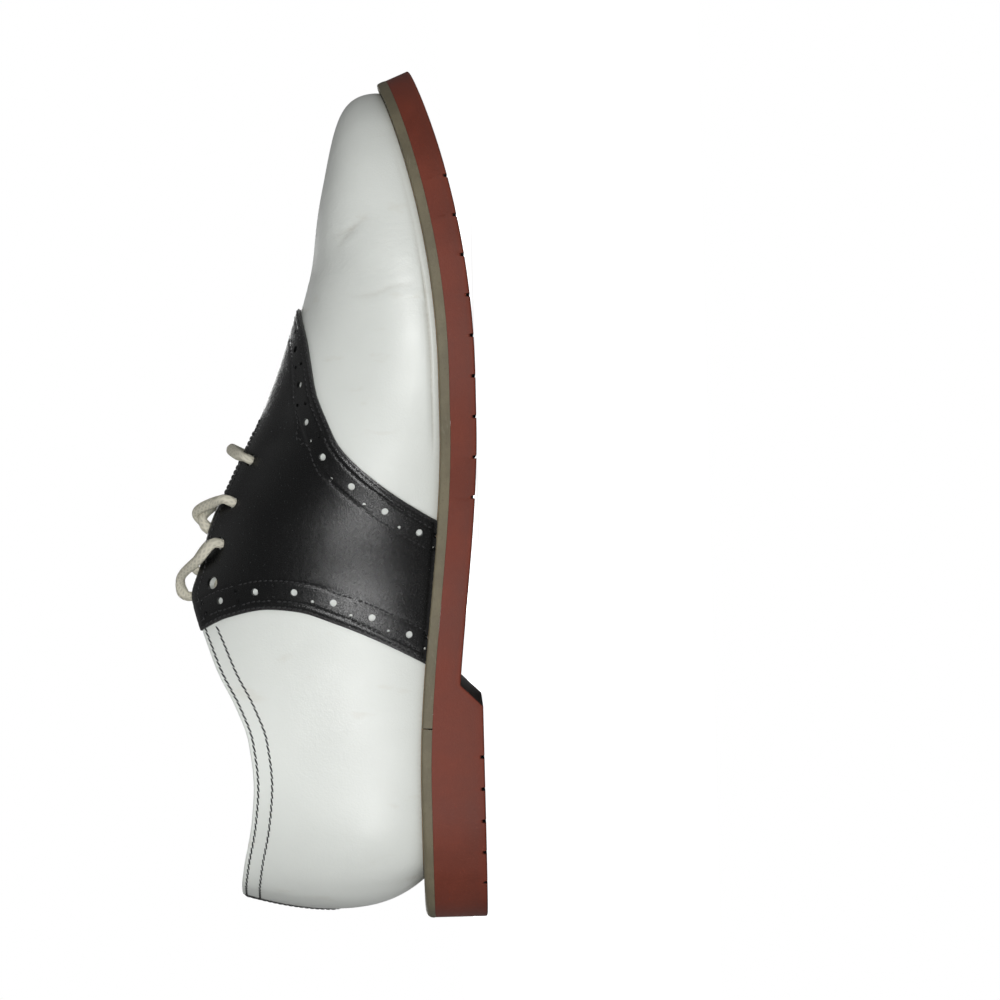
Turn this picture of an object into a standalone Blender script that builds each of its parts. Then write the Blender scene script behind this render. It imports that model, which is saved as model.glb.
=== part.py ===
"""A left saddle shoe: white upper, black saddle, olive welt and brick-red unit sole.

The shoe stands on its sole. Metres, Z up, toe towards -Y, heel towards +Y.
The medial side, which faces the other foot, is at -X.
The origin is under the middle of the sole's box, on the floor.
"""

import math
from functools import lru_cache

import bmesh
import bpy
from mathutils import Vector

MM = 0.001

# Sole
SOLE_LENGTH = 300 * MM
BALL_WIDTH = 106 * MM
TOE_SPRING = 20.5 * MM
SEAT_LIFT = 9.5 * MM
OUTSOLE_THICKNESS = 8.9 * MM
WELT_THICKNESS = 3.5 * MM
TREAD_BEVEL = 0.8 * MM
WELT_BEVEL = 0.7 * MM
RAND_BEVEL = 3.6 * MM
GROOVE_WIDTH = 1.3 * MM
GROOVE_DEPTH = 1.2 * MM
BREAST_SLANT = 7.4 * MM

# Upper
INSTEP_HEIGHT = 101 * MM
COLLAR_WIDTH = 56 * MM
UPPER_WALL = 2.0 * MM
OVERLAY_THICKNESS = 1.2 * MM
OVERLAY_GAP = 0.4 * MM
TOE_LEDGE = 3.0 * MM
SIDE_LEDGE = 5.0 * MM
HEEL_LEDGE = 14.0 * MM

# Inside, throat and lace
INSOLE_RISE = 2.6 * MM
INSOLE_CLEARANCE = 0.6 * MM
TONGUE_THICKNESS = 2.4 * MM
TONGUE_CLEARANCE = 0.6 * MM
LACE_ROOM = 1.8 * MM
LACE_DIAMETER = 4.2 * MM
EYELET_DIAMETER = 4.4 * MM
EYELET_SETBACK = 9.0 * MM
EYELET_PLUG_LENGTH = 12.0 * MM
LACE_CLEARANCE = 0.9 * MM
LACE_CROSSING_LIFT = 6.2 * MM
LACE_TAIL_LIFT = 3.6 * MM
LACE_TAIL_CLEARANCE = 1.7 * MM
BACKSTAY_HALF_WIDTH = 5.5 * MM
BACKSTAY_TAPER = 0.3
OVERLAY_START = 1.2 * MM

# Touching pieces keep this much air between them
GAP = 0.3 * MM

# Places along the shoe, as shares of the sole's length from the toe tip
TREAD_FLAT_FRONT = 0.365
TREAD_FLAT_BACK = 0.4174
SEAT_FLAT = 0.8395
HEEL_BREAST = 0.7194
WELT_JOINT = 0.7705
THROAT_FRONT = 0.395
FIRST_EYELET_ROW = 0.4495
LAST_EYELET_ROW = 0.5957
EYELET_ROWS = 4
TONGUE_FRONT = 0.365
TONGUE_BACK = 0.628
FOREFOOT_GROOVES = (0.139, 0.504)
HEEL_GROOVES = (0.802, 0.949)

# The back seam's strip, as shares of the climb up the heel
BACKSTAY_FOOT = 0.50
BACKSTAY_TOP = 0.985

# How many grooves cross the tread
FOREFOOT_GROOVE_COUNT = 9
HEEL_GROOVE_COUNT = 5

# The sole's edge belongs to toe or heel from this much of a turn towards them
ENDS_BEGIN = 0.25

# How finely the curves are cut
SIDE_COLUMNS = 42
UPPER_ROWS = 14
SADDLE_COLUMNS = 12
SADDLE_JOINED_COLUMNS = 4
SADDLE_ROWS = 15
UPPER_ROW_CROWDING = 0.35
SADDLE_ROW_CROWDING = 1.8
CORD_SIDES = 8

MEDIAL = -1
LATERAL = 1

# The sole's plan. Shares of the sole's length, and of the ball width from a line through the heel.
OUTLINE = [
    # along, medial, lateral
    (0.000, 0.035, -0.035),
    (0.020, 0.225, 0.165),
    (0.050, 0.325, 0.275),
    (0.100, 0.410, 0.375),
    (0.160, 0.458, 0.440),
    (0.230, 0.482, 0.487),
    (0.300, 0.484, 0.512),
    (0.370, 0.462, 0.516),
    (0.450, 0.398, 0.488),
    (0.530, 0.330, 0.435),
    (0.610, 0.295, 0.385),
    (0.700, 0.298, 0.350),
    (0.800, 0.322, 0.338),
    (0.870, 0.328, 0.330),
    (0.930, 0.298, 0.298),
    (0.970, 0.222, 0.222),
    (1.000, 0.000, 0.000),
]

# The line where the ribs of the upper end: the ridge of the vamp, the throat's edge, then the collar.
# Shares of the sole's length, the instep height, the collar width and the ball width.
TOP_LINE = [
    # station, along, height, half gap, middle
    (0.000, 0.1600, 0.527, 0.000, -0.035),
    (0.050, 0.1725, 0.535, 0.000, -0.034),
    (0.120, 0.1984, 0.549, 0.000, -0.032),
    (0.200, 0.2400, 0.569, 0.000, -0.030),
    (0.270, 0.2869, 0.609, 0.000, -0.030),
    (0.340, 0.3437, 0.665, 0.000, -0.030),
    (0.395, 0.3950, 0.728, 0.000, -0.033),
    (0.430, 0.4300, 0.776, 0.074, -0.034),
    (0.480, 0.4800, 0.853, 0.098, -0.035),
    (0.530, 0.5300, 0.924, 0.116, -0.035),
    (0.580, 0.5800, 0.966, 0.134, -0.033),
    (0.612, 0.6120, 0.996, 0.160, -0.030),
    (0.640, 0.6400, 0.978, 0.232, -0.026),
    (0.670, 0.6700, 0.946, 0.320, -0.021),
    (0.700, 0.7000, 0.911, 0.384, -0.016),
    (0.740, 0.7400, 0.851, 0.446, -0.010),
    (0.780, 0.7800, 0.809, 0.482, -0.005),
    (0.830, 0.8290, 0.794, 0.500, 0.000),
    (0.880, 0.8750, 0.806, 0.473, 0.000),
    (0.940, 0.9243, 0.838, 0.370, 0.000),
    (0.980, 0.9540, 0.855, 0.215, 0.000),
    (1.000, 0.9680, 0.860, 0.000, 0.000),
]

# How each rib of the upper leaves the welt and arrives at the top line.
# Angles in degrees: out from upright at the foot, down from level at the top.
# Handles are shares of the straight distance from foot to top.
RIBS = [
    # station, foot angle, foot handle, top angle, top handle
    (0.00, 2.0, 0.36, 0.0, 0.58),
    (0.05, 4.0, 0.40, 0.0, 0.55),
    (0.12, 8.0, 0.42, 0.0, 0.52),
    (0.22, 11.0, 0.40, 0.0, 0.45),
    (0.33, 12.0, 0.36, 0.0, 0.38),
    (0.395, 13.0, 0.37, 5.0, 0.34),
    (0.45, 16.0, 0.38, 18.0, 0.30),
    (0.55, 20.0, 0.38, 32.0, 0.30),
    (0.62, 19.0, 0.36, 52.0, 0.30),
    (0.70, 15.0, 0.34, 78.0, 0.30),
    (0.80, 13.0, 0.33, 84.0, 0.30),
    (0.90, 22.0, 0.33, 80.0, 0.33),
    (1.00, 42.0, 0.34, 74.0, 0.36),
]

# Edges of the saddle on the side of the shoe: how far along, at a share of the height there.
SADDLE_FRONT = [
    # climb, along
    (0.00, 0.530),
    (0.21, 0.497),
    (0.38, 0.468),
    (0.52, 0.440),
    (0.62, 0.411),
    (0.71, 0.383),
    (0.78, 0.354),
    (0.87, 0.315),
    (1.00, 0.277),
]
SADDLE_BACK = [
    # climb, along
    (0.00, 0.6956),
    (0.22, 0.6670),
    (0.40, 0.6460),
    (0.56, 0.6310),
    (0.68, 0.6280),
    (0.86, 0.6370),
    (1.00, 0.6520),
]


def clear_scene():
    for thing in list(bpy.data.objects):
        bpy.data.objects.remove(thing, do_unlink=True)


def turn(share):
    """Even steps of this are close together at both ends of the shoe, where it curves most."""
    return math.acos(1 - 2 * min(max(share, 0.0), 1.0)) / math.pi


def share_of_turn(angle):
    return (1 - math.cos(math.pi * angle)) / 2


def smooth_curve(places, values, at, level_ends=False):
    """Height at a place of the smooth curve through all points, with no overshoot between them."""
    if at <= places[0]:
        return values[0]
    if at >= places[-1]:
        return values[-1]
    steps = [(values[i + 1] - values[i]) / (places[i + 1] - places[i]) for i in range(len(places) - 1)]
    slopes = [0.0 if level_ends else steps[0]]
    for before, after in zip(steps, steps[1:]):
        slopes.append(2 * before * after / (before + after) if before * after > 0 else 0.0)
    slopes.append(0.0 if level_ends else steps[-1])
    i = max(k for k in range(len(places) - 1) if places[k] <= at)
    span = places[i + 1] - places[i]
    s = (at - places[i]) / span
    start = (1 + 2 * s) * (1 - s) ** 2 * values[i] + s * (1 - s) ** 2 * span * slopes[i]
    end = s * s * (3 - 2 * s) * values[i + 1] + s * s * (s - 1) * span * slopes[i + 1]
    return start + end


def along_shoe(table, column, share, level_ends=True):
    """One column of a table. Widths cross the middle at toe and heel; all else is level there."""
    places = [turn(row[0]) for row in table]
    return smooth_curve(places, [row[column] for row in table], turn(share), level_ends)


def up_the_side(table, climb):
    return smooth_curve([row[0] for row in table], [row[1] for row in table], climb)


def underside(share):
    """Height of the sole's underside, as if the heel block were away."""
    if share < TREAD_FLAT_FRONT:
        return TOE_SPRING * ((TREAD_FLAT_FRONT - share) / TREAD_FLAT_FRONT) ** 2
    s = min(max((share - TREAD_FLAT_BACK) / (SEAT_FLAT - TREAD_FLAT_BACK), 0.0), 1.0)
    return SEAT_LIFT * s * s * (3 - 2 * s)


def underside_angle(share):
    step = 0.001
    rise = underside(share + step) - underside(share - step)
    return math.atan2(rise, 2 * step * SOLE_LENGTH)


def length_place(share, depth):
    """Y of the sole at a depth above its underside, square to it."""
    return (share - 0.5) * SOLE_LENGTH - depth * math.sin(underside_angle(share))


def sole_height(y, depth):
    share = y / SOLE_LENGTH + 0.5
    for _ in range(6):
        share += (y - length_place(share, depth)) / SOLE_LENGTH
    return underside(share) + depth * math.cos(underside_angle(share))


def half_width(side, share):
    return BALL_WIDTH * along_shoe(OUTLINE, 1 if side == MEDIAL else 2, share, level_ends=False)


def middle_of_ball():
    """The line through the heel lies this far from the middle of the sole's box."""
    shares = [share_of_turn(i / SIDE_COLUMNS) for i in range(SIDE_COLUMNS + 1)]
    medial = max(half_width(MEDIAL, share) for share in shares)
    lateral = max(half_width(LATERAL, share) for share in shares)
    return (lateral - medial) / 2


HEEL_LINE_X = -middle_of_ball()


def edge_place(side, share, depth):
    return Vector((HEEL_LINE_X + side * half_width(side, share), length_place(share, depth)))


def outward(side, share, depth):
    """Level direction out of the sole's edge."""
    angle = turn(share)
    step = 0.004
    before = edge_place(side, share_of_turn(max(angle - step, 0.0)), depth)
    after = edge_place(side, share_of_turn(min(angle + step, 1.0)), depth)
    if angle < step:
        return Vector((0.0, -1.0))
    if angle > 1 - step:
        return Vector((0.0, 1.0))
    edge = (after - before).normalized()
    return Vector((side * edge.y, -side * edge.x))


def sole_point(side, share, depth, inset=0.0):
    """Point at a depth above the underside, moved in from the sole's edge."""
    place = edge_place(side, share, depth) - outward(side, share, depth) * inset
    return Vector((place.x, place.y, sole_height(place.y, depth)))


@lru_cache(maxsize=None)
def ledge(side, share):
    """How far the upper stands in from the sole's edge: it changes where the edge turns to toe and heel."""
    facing = outward(side, share, WELT_TOP).y
    to_toe = max((-facing - ENDS_BEGIN) / (1 - ENDS_BEGIN), 0.0)
    to_heel = max((facing - ENDS_BEGIN) / (1 - ENDS_BEGIN), 0.0)
    return SIDE_LEDGE + (TOE_LEDGE - SIDE_LEDGE) * to_toe + (HEEL_LEDGE - SIDE_LEDGE) * to_heel


WELT_TOP = OUTSOLE_THICKNESS + WELT_THICKNESS


def rib_foot(side, share, wall=0.0):
    return sole_point(side, share, WELT_TOP + GAP, ledge(side, share) + wall)


def rib_top(side, share):
    x = HEEL_LINE_X + BALL_WIDTH * along_shoe(TOP_LINE, 4, share)
    x += side * half_gap(share)
    y = (along_shoe(TOP_LINE, 1, share) - 0.5) * SOLE_LENGTH
    return Vector((x, y, INSTEP_HEIGHT * along_shoe(TOP_LINE, 2, share)))


def half_gap(share):
    return COLLAR_WIDTH * along_shoe(TOP_LINE, 3, share, level_ends=False)


def top_slope(share):
    step = 0.01
    before = rib_top(MEDIAL, share - step)
    after = rib_top(MEDIAL, share + step)
    return (after.z - before.z) / max(after.y - before.y, 1e-9)


@lru_cache(maxsize=None)
def rib(side, share):
    """Four control points of the upper's rib at a share of the length."""
    foot = rib_foot(side, share)
    top = rib_top(side, share)
    reach = (top - foot).length
    flat = outward(side, share, WELT_TOP)
    out = Vector((flat.x, flat.y, 0.0))
    up = Vector((0.0, 0.0, 1.0))
    foot_angle, foot_handle, top_angle, top_handle = [along_shoe(RIBS, k, share) for k in (1, 2, 3, 4)]
    lean = math.radians(foot_angle)
    fall = math.radians(top_angle)
    level = (out + up * out.y * top_slope(share) * math.cos(fall) ** 2).normalized()
    first = foot + (up * math.cos(lean) + out * math.sin(lean)) * reach * foot_handle
    second = top + (level * math.cos(fall) - up * math.sin(fall)) * reach * top_handle
    return foot, first, second, top


def upper_point(side, share, climb):
    """Outer face of the upper, climbed from the welt (0) to the rib's top (1)."""
    foot, first, second, top = rib(side, share)
    t = climb
    return (foot * (1 - t) ** 3 + first * 3 * t * (1 - t) ** 2
            + second * 3 * t * t * (1 - t) + top * t ** 3)


def upper_normal(side, share, climb):
    step = 0.01
    up = upper_point(side, share, min(climb + step, 1.0)) - upper_point(side, share, max(climb - step, 0.0))
    back = upper_point(side, share + step, climb) - upper_point(side, share - step, climb)
    return (up.cross(back) * -side).normalized()


def climb_below_top(side, share, distance):
    """Climb of the point that lies a distance down the rib from its top."""
    steps = 200
    climb = 1.0
    last = upper_point(side, share, climb)
    walked = 0.0
    while walked < distance and climb > 0:
        climb -= 1 / steps
        here = upper_point(side, share, climb)
        walked += (here - last).length
        last = here
    return climb


def place_on_side(side, along, height_share):
    """Rib and climb of the point at a place along the sole and a share of the upper's height there."""
    share = along
    climb = height_share
    for _ in range(8):
        low, high = 0.0, 1.0
        foot = upper_point(side, share, 0.0).z
        top = upper_point(side, share, 1.0).z
        wanted = foot + (top - foot) * height_share
        for _ in range(14):
            climb = (low + high) / 2
            if upper_point(side, share, climb).z < wanted:
                low = climb
            else:
                high = climb
        if height_share >= 1:
            climb = 1.0
        miss = (along - 0.5) * SOLE_LENGTH - upper_point(side, share, climb).y
        share += 0.8 * miss / SOLE_LENGTH
    return share, climb


def material(name, colour, roughness):
    made = bpy.data.materials.new(name)
    made.use_nodes = True
    shader = made.node_tree.nodes["Principled BSDF"]
    shader.inputs["Base Color"].default_value = (*colour, 1.0)
    shader.inputs["Roughness"].default_value = roughness
    shader.inputs["Metallic"].default_value = 0.0
    return made


def add_object(name, points, faces, surface, smooth_angle=35):
    mesh = bpy.data.meshes.new(name)
    mesh.from_pydata([tuple(p) for p in points], [], faces)
    mesh.validate()
    built = bmesh.new()
    built.from_mesh(mesh)
    bmesh.ops.recalc_face_normals(built, faces=built.faces)
    built.to_mesh(mesh)
    built.free()
    mesh.shade_smooth()
    mesh.set_sharp_from_angle(angle=math.radians(smooth_angle))
    mesh.materials.append(surface)
    thing = bpy.data.objects.new(name, mesh)
    bpy.context.scene.collection.objects.link(thing)
    return thing


def corner_normals(points, faces):
    """Mean direction of the faces round each point."""
    normals = [Vector((0.0, 0.0, 0.0)) for _ in points]
    for face in faces:
        corners = [points[k] for k in face]
        across = (corners[2] - corners[0]).cross(corners[-1] - corners[1])
        for k in face:
            normals[k] += across
    return [normal.normalized() for normal in normals]


def skin(faces, outer, inner):
    """Closed body between two sheets with the same faces: outer, inner and the rims between."""
    count = len(outer)
    directed = set()
    for face in faces:
        directed.update(zip(face, face[1:] + face[:1]))
    rims = [(b, a, a + count, b + count) for a, b in sorted(directed) if (b, a) not in directed]
    backs = [tuple(k + count for k in reversed(face)) for face in faces]
    return outer + inner, faces + backs + rims


class Sheet:
    """Grid of points over both sides of the shoe. Points that fall together are one point."""

    def __init__(self):
        self.points = []
        self.faces = []
        self.places = {}

    def add(self, key, point):
        if key not in self.places:
            self.places[key] = len(self.points)
            self.points.append(point)
        return self.places[key]

    def quad(self, side, corners):
        """Face between four corners: ahead, behind, behind and higher, ahead and higher."""
        ordered = corners if side == LATERAL else list(reversed(corners))
        face = []
        for corner in ordered:
            if corner not in face:
                face.append(corner)
        self.faces.append(tuple(face))

    def lifted(self, height):
        """The same points moved out along the sheet's own directions, or in."""
        normals = corner_normals(self.points, self.faces)
        return [point + normal * height for point, normal in zip(self.points, normals)]


def sole_stations():
    """Shares of the length at which the sole is cut, with four more for each groove."""
    stations = {share_of_turn(i / SIDE_COLUMNS): 0.0 for i in range(SIDE_COLUMNS + 1)}
    half = GROOVE_WIDTH / 2 / SOLE_LENGTH
    soft = 0.15 * GROOVE_WIDTH / SOLE_LENGTH
    for (first, last), count in ((FOREFOOT_GROOVES, FOREFOOT_GROOVE_COUNT), (HEEL_GROOVES, HEEL_GROOVE_COUNT)):
        for k in range(count):
            middle = first + (last - first) * k / (count - 1)
            for near in [s for s in stations if abs(s - middle) < 2 * half]:
                del stations[near]
            for offset, deep in ((-half, 0.0), (soft - half, GROOVE_DEPTH),
                                 (half - soft, GROOVE_DEPTH), (half, 0.0)):
                stations[middle + offset] = deep
    foot = HEEL_BREAST + BREAST_SLANT / SOLE_LENGTH
    for near in [s for s in stations if abs(s - HEEL_BREAST) < 0.004 or abs(s - foot) < 0.004]:
        del stations[near]
    stations[HEEL_BREAST] = 0.0
    stations[foot] = 0.0
    return sorted(stations.items())


def tread_height(share):
    if share <= HEEL_BREAST:
        return underside(share)
    s = min((share - HEEL_BREAST) / (BREAST_SLANT / SOLE_LENGTH), 1.0)
    return underside(HEEL_BREAST) * (1 - s)


def ring(shares, point):
    """Closed loop of points: from the toe along the medial side to the heel, and back."""
    there = [point(MEDIAL, share) for share in shares]
    back = [point(LATERAL, share) for share in reversed(shares[1:-1])]
    return there + back


def stack(rings, count):
    """Closed body of loops on top of each other, with a cap of cross strips at each end."""
    points = [p for loop in rings for p in loop]
    size = len(rings[0])
    faces = []
    for level in range(len(rings) - 1):
        for k in range(size):
            after = (k + 1) % size
            low = level * size
            high = low + size
            faces.append((low + k, low + after, high + after, high + k))
    for base in (0, (len(rings) - 1) * size):
        for k in range(count - 1):
            corners = [base + k, base + k + 1, base + (size - k - 1) % size, base + (size - k) % size]
            face = []
            for corner in corners:
                if corner not in face:
                    face.append(corner)
            faces.append(tuple(face))
    return points, faces


def make_outsole(surface):
    stations = sole_stations()
    shares = [share for share, _ in stations]
    depth_of = dict(stations)

    def tread(side, share):
        place = edge_place(side, share, 0.0) - outward(side, share, 0.0) * TREAD_BEVEL
        return Vector((place.x, place.y, tread_height(share) + depth_of[share]))

    def bevel_top(side, share):
        place = edge_place(side, share, 0.0)
        return Vector((place.x, place.y, tread_height(share) + depth_of[share] + TREAD_BEVEL))

    def top(side, share):
        return sole_point(side, share, OUTSOLE_THICKNESS)

    rings = [ring(shares, tread), ring(shares, bevel_top), ring(shares, top)]
    points, faces = stack(rings, len(shares))
    return add_object("outsole", points, faces, surface)


def strip_path(first, last, steps):
    """Places round the sole's edge: from one share on the medial side, by an end, to the lateral side."""
    start, end = turn(first), turn(last)
    shares = [share_of_turn(start + (end - start) * k / steps) for k in range(steps + 1)]
    there = [(MEDIAL, share) for share in shares]
    back = [(LATERAL, share) for share in reversed(shares[:-1])]
    return there + back


def make_strip(name, path, bevel, surface):
    """Olive strip on the outsole's rim, swept along the edge with a four-cornered section."""
    points = []
    inner_edge = UPPER_WALL
    for side, share in path:
        inside = ledge(side, share) + inner_edge
        top_in = min(bevel(share), ledge(side, share) * 0.6)
        points.append(sole_point(side, share, OUTSOLE_THICKNESS + GAP))
        points.append(sole_point(side, share, WELT_TOP - min(top_in, WELT_THICKNESS * 0.6)))
        points.append(sole_point(side, share, WELT_TOP, top_in))
        points.append(sole_point(side, share, WELT_TOP, inside))
        points.append(sole_point(side, share, OUTSOLE_THICKNESS + GAP, inside))
    faces = []
    corners = 5
    for k in range(len(path) - 1):
        for c in range(corners):
            low = k * corners
            after = (c + 1) % corners
            faces.append((low + c, low + after, low + corners + after, low + corners + c))
    faces.append(tuple(range(corners)))
    faces.append(tuple((len(path) - 1) * corners + c for c in reversed(range(corners))))
    return add_object(name, points, faces, surface)


def make_welt(surface):
    path = strip_path(WELT_JOINT, 0.0, 30)
    return make_strip("welt", path, lambda share: WELT_BEVEL, surface)


def make_heel_rand(surface):
    joint = WELT_JOINT + GAP / SOLE_LENGTH

    def bevel(share):
        reach = max(share - joint, 0.0) / (1 - joint)
        return WELT_BEVEL + (RAND_BEVEL - WELT_BEVEL) * reach ** 2

    return make_strip("heel_rand", strip_path(joint, 1.0, 18), bevel, surface)


def make_insole(surface):
    shares = [share_of_turn(i / SIDE_COLUMNS) for i in range(SIDE_COLUMNS + 1)]
    inset = UPPER_WALL + INSOLE_CLEARANCE

    def level(depth):
        return ring(shares, lambda side, share: sole_point(side, share, depth, ledge(side, share) + inset))

    rings = [level(OUTSOLE_THICKNESS + GAP), level(WELT_TOP + INSOLE_RISE)]
    points, faces = stack(rings, len(shares))
    return add_object("insole", points, faces, surface)


def close_to_top(row_share):
    """Rows of the upper lie closer together towards its top, where it curves most."""
    return row_share * (1 + UPPER_ROW_CROWDING * (1 - row_share))


def make_upper(surface):
    sheet = Sheet()
    feet = {}

    def vertex(side, column, row):
        share = share_of_turn(column / SIDE_COLUMNS)
        alone = column in (0, SIDE_COLUMNS) or (row == UPPER_ROWS and half_gap(share) < GAP / 2)
        key = (0 if alone else side, column, row)
        index = sheet.add(key, upper_point(side, share, close_to_top(row / UPPER_ROWS)))
        if row == 0:
            feet[index] = rib_foot(side, share, UPPER_WALL)
        return index

    for side in (MEDIAL, LATERAL):
        for column in range(SIDE_COLUMNS):
            for row in range(UPPER_ROWS):
                corners = [vertex(side, column, row), vertex(side, column + 1, row),
                           vertex(side, column + 1, row + 1), vertex(side, column, row + 1)]
                sheet.quad(side, corners)
    inner = sheet.lifted(-UPPER_WALL)
    for index, foot in feet.items():
        inner[index] = foot
    points, faces = skin(sheet.faces, sheet.points, inner)
    return add_object("upper", points, faces, surface)


def saddle_columns():
    """Shares from the saddle's front edge to its back edge, with one column at the throat's front."""
    front, back = SADDLE_FRONT[-1][1], SADDLE_BACK[-1][1]
    throat = along_shoe(TOP_LINE, 1, THROAT_FRONT)
    joined = (throat - front) / (back - front)
    ahead = [joined * k / SADDLE_JOINED_COLUMNS for k in range(SADDLE_JOINED_COLUMNS)]
    rest = SADDLE_COLUMNS - SADDLE_JOINED_COLUMNS
    return ahead + [joined + (1 - joined) * k / rest for k in range(rest + 1)]


def make_saddle(surface, cutter):
    sheet = Sheet()
    columns = saddle_columns()
    lowest = OVERLAY_START / INSTEP_HEIGHT

    def vertex(side, column, row):
        height_share = 1 - (1 - lowest) * (1 - row / SADDLE_ROWS) ** SADDLE_ROW_CROWDING
        front = up_the_side(SADDLE_FRONT, height_share)
        back = up_the_side(SADDLE_BACK, height_share)
        along = front + (back - front) * columns[column]
        joined = row == SADDLE_ROWS and column <= SADDLE_JOINED_COLUMNS
        key = (0 if joined else side, column, row)
        if key in sheet.places:
            return sheet.places[key]
        return sheet.add(key, upper_point(side, *place_on_side(side, along, height_share)))

    for side in (MEDIAL, LATERAL):
        for column in range(SADDLE_COLUMNS):
            for row in range(SADDLE_ROWS):
                sheet.quad(side, [vertex(side, column, row), vertex(side, column + 1, row),
                                  vertex(side, column + 1, row + 1), vertex(side, column, row + 1)])
    points, faces = skin(sheet.faces, sheet.lifted(OVERLAY_GAP + OVERLAY_THICKNESS), sheet.lifted(OVERLAY_GAP))
    saddle = add_object("saddle", points, faces, surface)
    cut_away(saddle, cutter)
    return saddle


def make_backstay(surface):
    sheet = Sheet()
    across = 2
    rows = 6

    def vertex(side, column, row):
        climb = BACKSTAY_FOOT + (BACKSTAY_TOP - BACKSTAY_FOOT) * row / rows
        taper = BACKSTAY_TAPER + (1 - BACKSTAY_TAPER) * row / rows
        reach = BACKSTAY_HALF_WIDTH * taper * column / across
        low, high = 0.9, 1.0
        for _ in range(20):
            share = (low + high) / 2
            if abs(upper_point(side, share, climb).x - HEEL_LINE_X) > reach:
                low = share
            else:
                high = share
        key = (0 if column == 0 else side, column, row)
        return sheet.add(key, upper_point(side, 1.0 if column == 0 else share, climb))

    for side in (MEDIAL, LATERAL):
        for column in range(across):
            for row in range(rows):
                sheet.quad(side, [vertex(side, column + 1, row), vertex(side, column, row),
                                  vertex(side, column, row + 1), vertex(side, column + 1, row + 1)])
    points, faces = skin(sheet.faces, sheet.lifted(OVERLAY_GAP + OVERLAY_THICKNESS), sheet.lifted(OVERLAY_GAP))
    return add_object("backstay", points, faces, surface)


def tongue_depth(share):
    """How far the tongue lies under the upper's outer face, with room for the lace where it is laced."""
    laced = (share - THROAT_FRONT) / (FIRST_EYELET_ROW - THROAT_FRONT)
    return UPPER_WALL + TONGUE_CLEARANCE + LACE_ROOM * min(max(laced, 0.0), 1.0)


def make_tongue(surface):
    sheet = Sheet()
    climbs = [0.62, 0.70, 0.78, 0.86, 0.93]
    columns = 12

    def vertex(side, column, row):
        share = TONGUE_FRONT + (TONGUE_BACK - TONGUE_FRONT) * column / columns
        depth = tongue_depth(share)
        if row < len(climbs):
            point = upper_point(side, share, climbs[row])
            point -= upper_normal(side, share, climbs[row]) * depth
            return sheet.add((side, column, row), point)
        return sheet.add((0, column, row), throat_middle(share, -depth))

    for side in (MEDIAL, LATERAL):
        for column in range(columns):
            for row in range(len(climbs)):
                sheet.quad(side, [vertex(side, column, row), vertex(side, column + 1, row),
                                  vertex(side, column + 1, row + 1), vertex(side, column, row + 1)])
    points, faces = skin(sheet.faces, sheet.points, sheet.lifted(-TONGUE_THICKNESS))
    return add_object("tongue", points, faces, surface)


def eyelet_row_share(row):
    return FIRST_EYELET_ROW + (LAST_EYELET_ROW - FIRST_EYELET_ROW) * row / (EYELET_ROWS - 1)


def eyelet(side, row):
    """Middle of an eyelet on the upper's outer face, and the way out of it."""
    share = eyelet_row_share(row)
    climb = climb_below_top(side, share, EYELET_SETBACK)
    return upper_point(side, share, climb), upper_normal(side, share, climb)


def make_eyelet_cutter():
    """Eight plugs through facings and upper. They only cut, and aren't pieces."""
    built = bmesh.new()
    for side in (MEDIAL, LATERAL):
        for row in range(EYELET_ROWS):
            middle, out = eyelet(side, row)
            turned = out.to_track_quat("Z", "Y").to_matrix().to_4x4()
            turned.translation = middle
            bmesh.ops.create_cone(built, cap_ends=True, segments=10, radius1=EYELET_DIAMETER / 2,
                                  radius2=EYELET_DIAMETER / 2, depth=EYELET_PLUG_LENGTH, matrix=turned)
    mesh = bpy.data.meshes.new("eyelet_plugs")
    built.to_mesh(mesh)
    built.free()
    plugs = bpy.data.objects.new("eyelet_plugs", mesh)
    bpy.context.scene.collection.objects.link(plugs)
    hide_as_guide(plugs)
    return plugs


def hide_as_guide(thing):
    thing.hide_render = True
    thing.display_type = "WIRE"


def cut_away(thing, cutter):
    cut = thing.modifiers.new("eyelets", "BOOLEAN")
    cut.operation = "DIFFERENCE"
    cut.solver = "EXACT"
    cut.object = cutter


def tube(name, route, surface):
    """Round cord through the points of a route, with flat ends."""
    radius = LACE_DIAMETER / 2
    points = []
    for k, place in enumerate(route):
        ahead = route[min(k + 1, len(route) - 1)] - route[max(k - 1, 0)]
        side_way = ahead.cross(Vector((0.0, 0.0, 1.0))).normalized()
        up_way = side_way.cross(ahead).normalized()
        for c in range(CORD_SIDES):
            angle = 2 * math.pi * c / CORD_SIDES
            points.append(place + (side_way * math.cos(angle) + up_way * math.sin(angle)) * radius)
    faces = []
    for k in range(len(route) - 1):
        low = k * CORD_SIDES
        for c in range(CORD_SIDES):
            after = (c + 1) % CORD_SIDES
            faces.append((low + c, low + after, low + CORD_SIDES + after, low + CORD_SIDES + c))
    faces.append(tuple(range(CORD_SIDES)))
    faces.append(tuple(len(points) - CORD_SIDES + c for c in reversed(range(CORD_SIDES))))
    return add_object(name, points, faces, surface)


def bend(points, steps=3):
    """Smooth curve through a few points of a cord's route."""
    ends = [points[0] * 2 - points[1]] + points + [points[-1] * 2 - points[-2]]
    route = []
    for before, a, b, after in zip(ends, ends[1:], ends[2:], ends[3:]):
        for k in range(steps):
            t = k / steps
            route.append(0.5 * (2 * a + (b - before) * t + (2 * before - 5 * a + 4 * b - after) * t * t
                                + (3 * a - before - 3 * b + after) * t ** 3))
    return route + [points[-1]]


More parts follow.
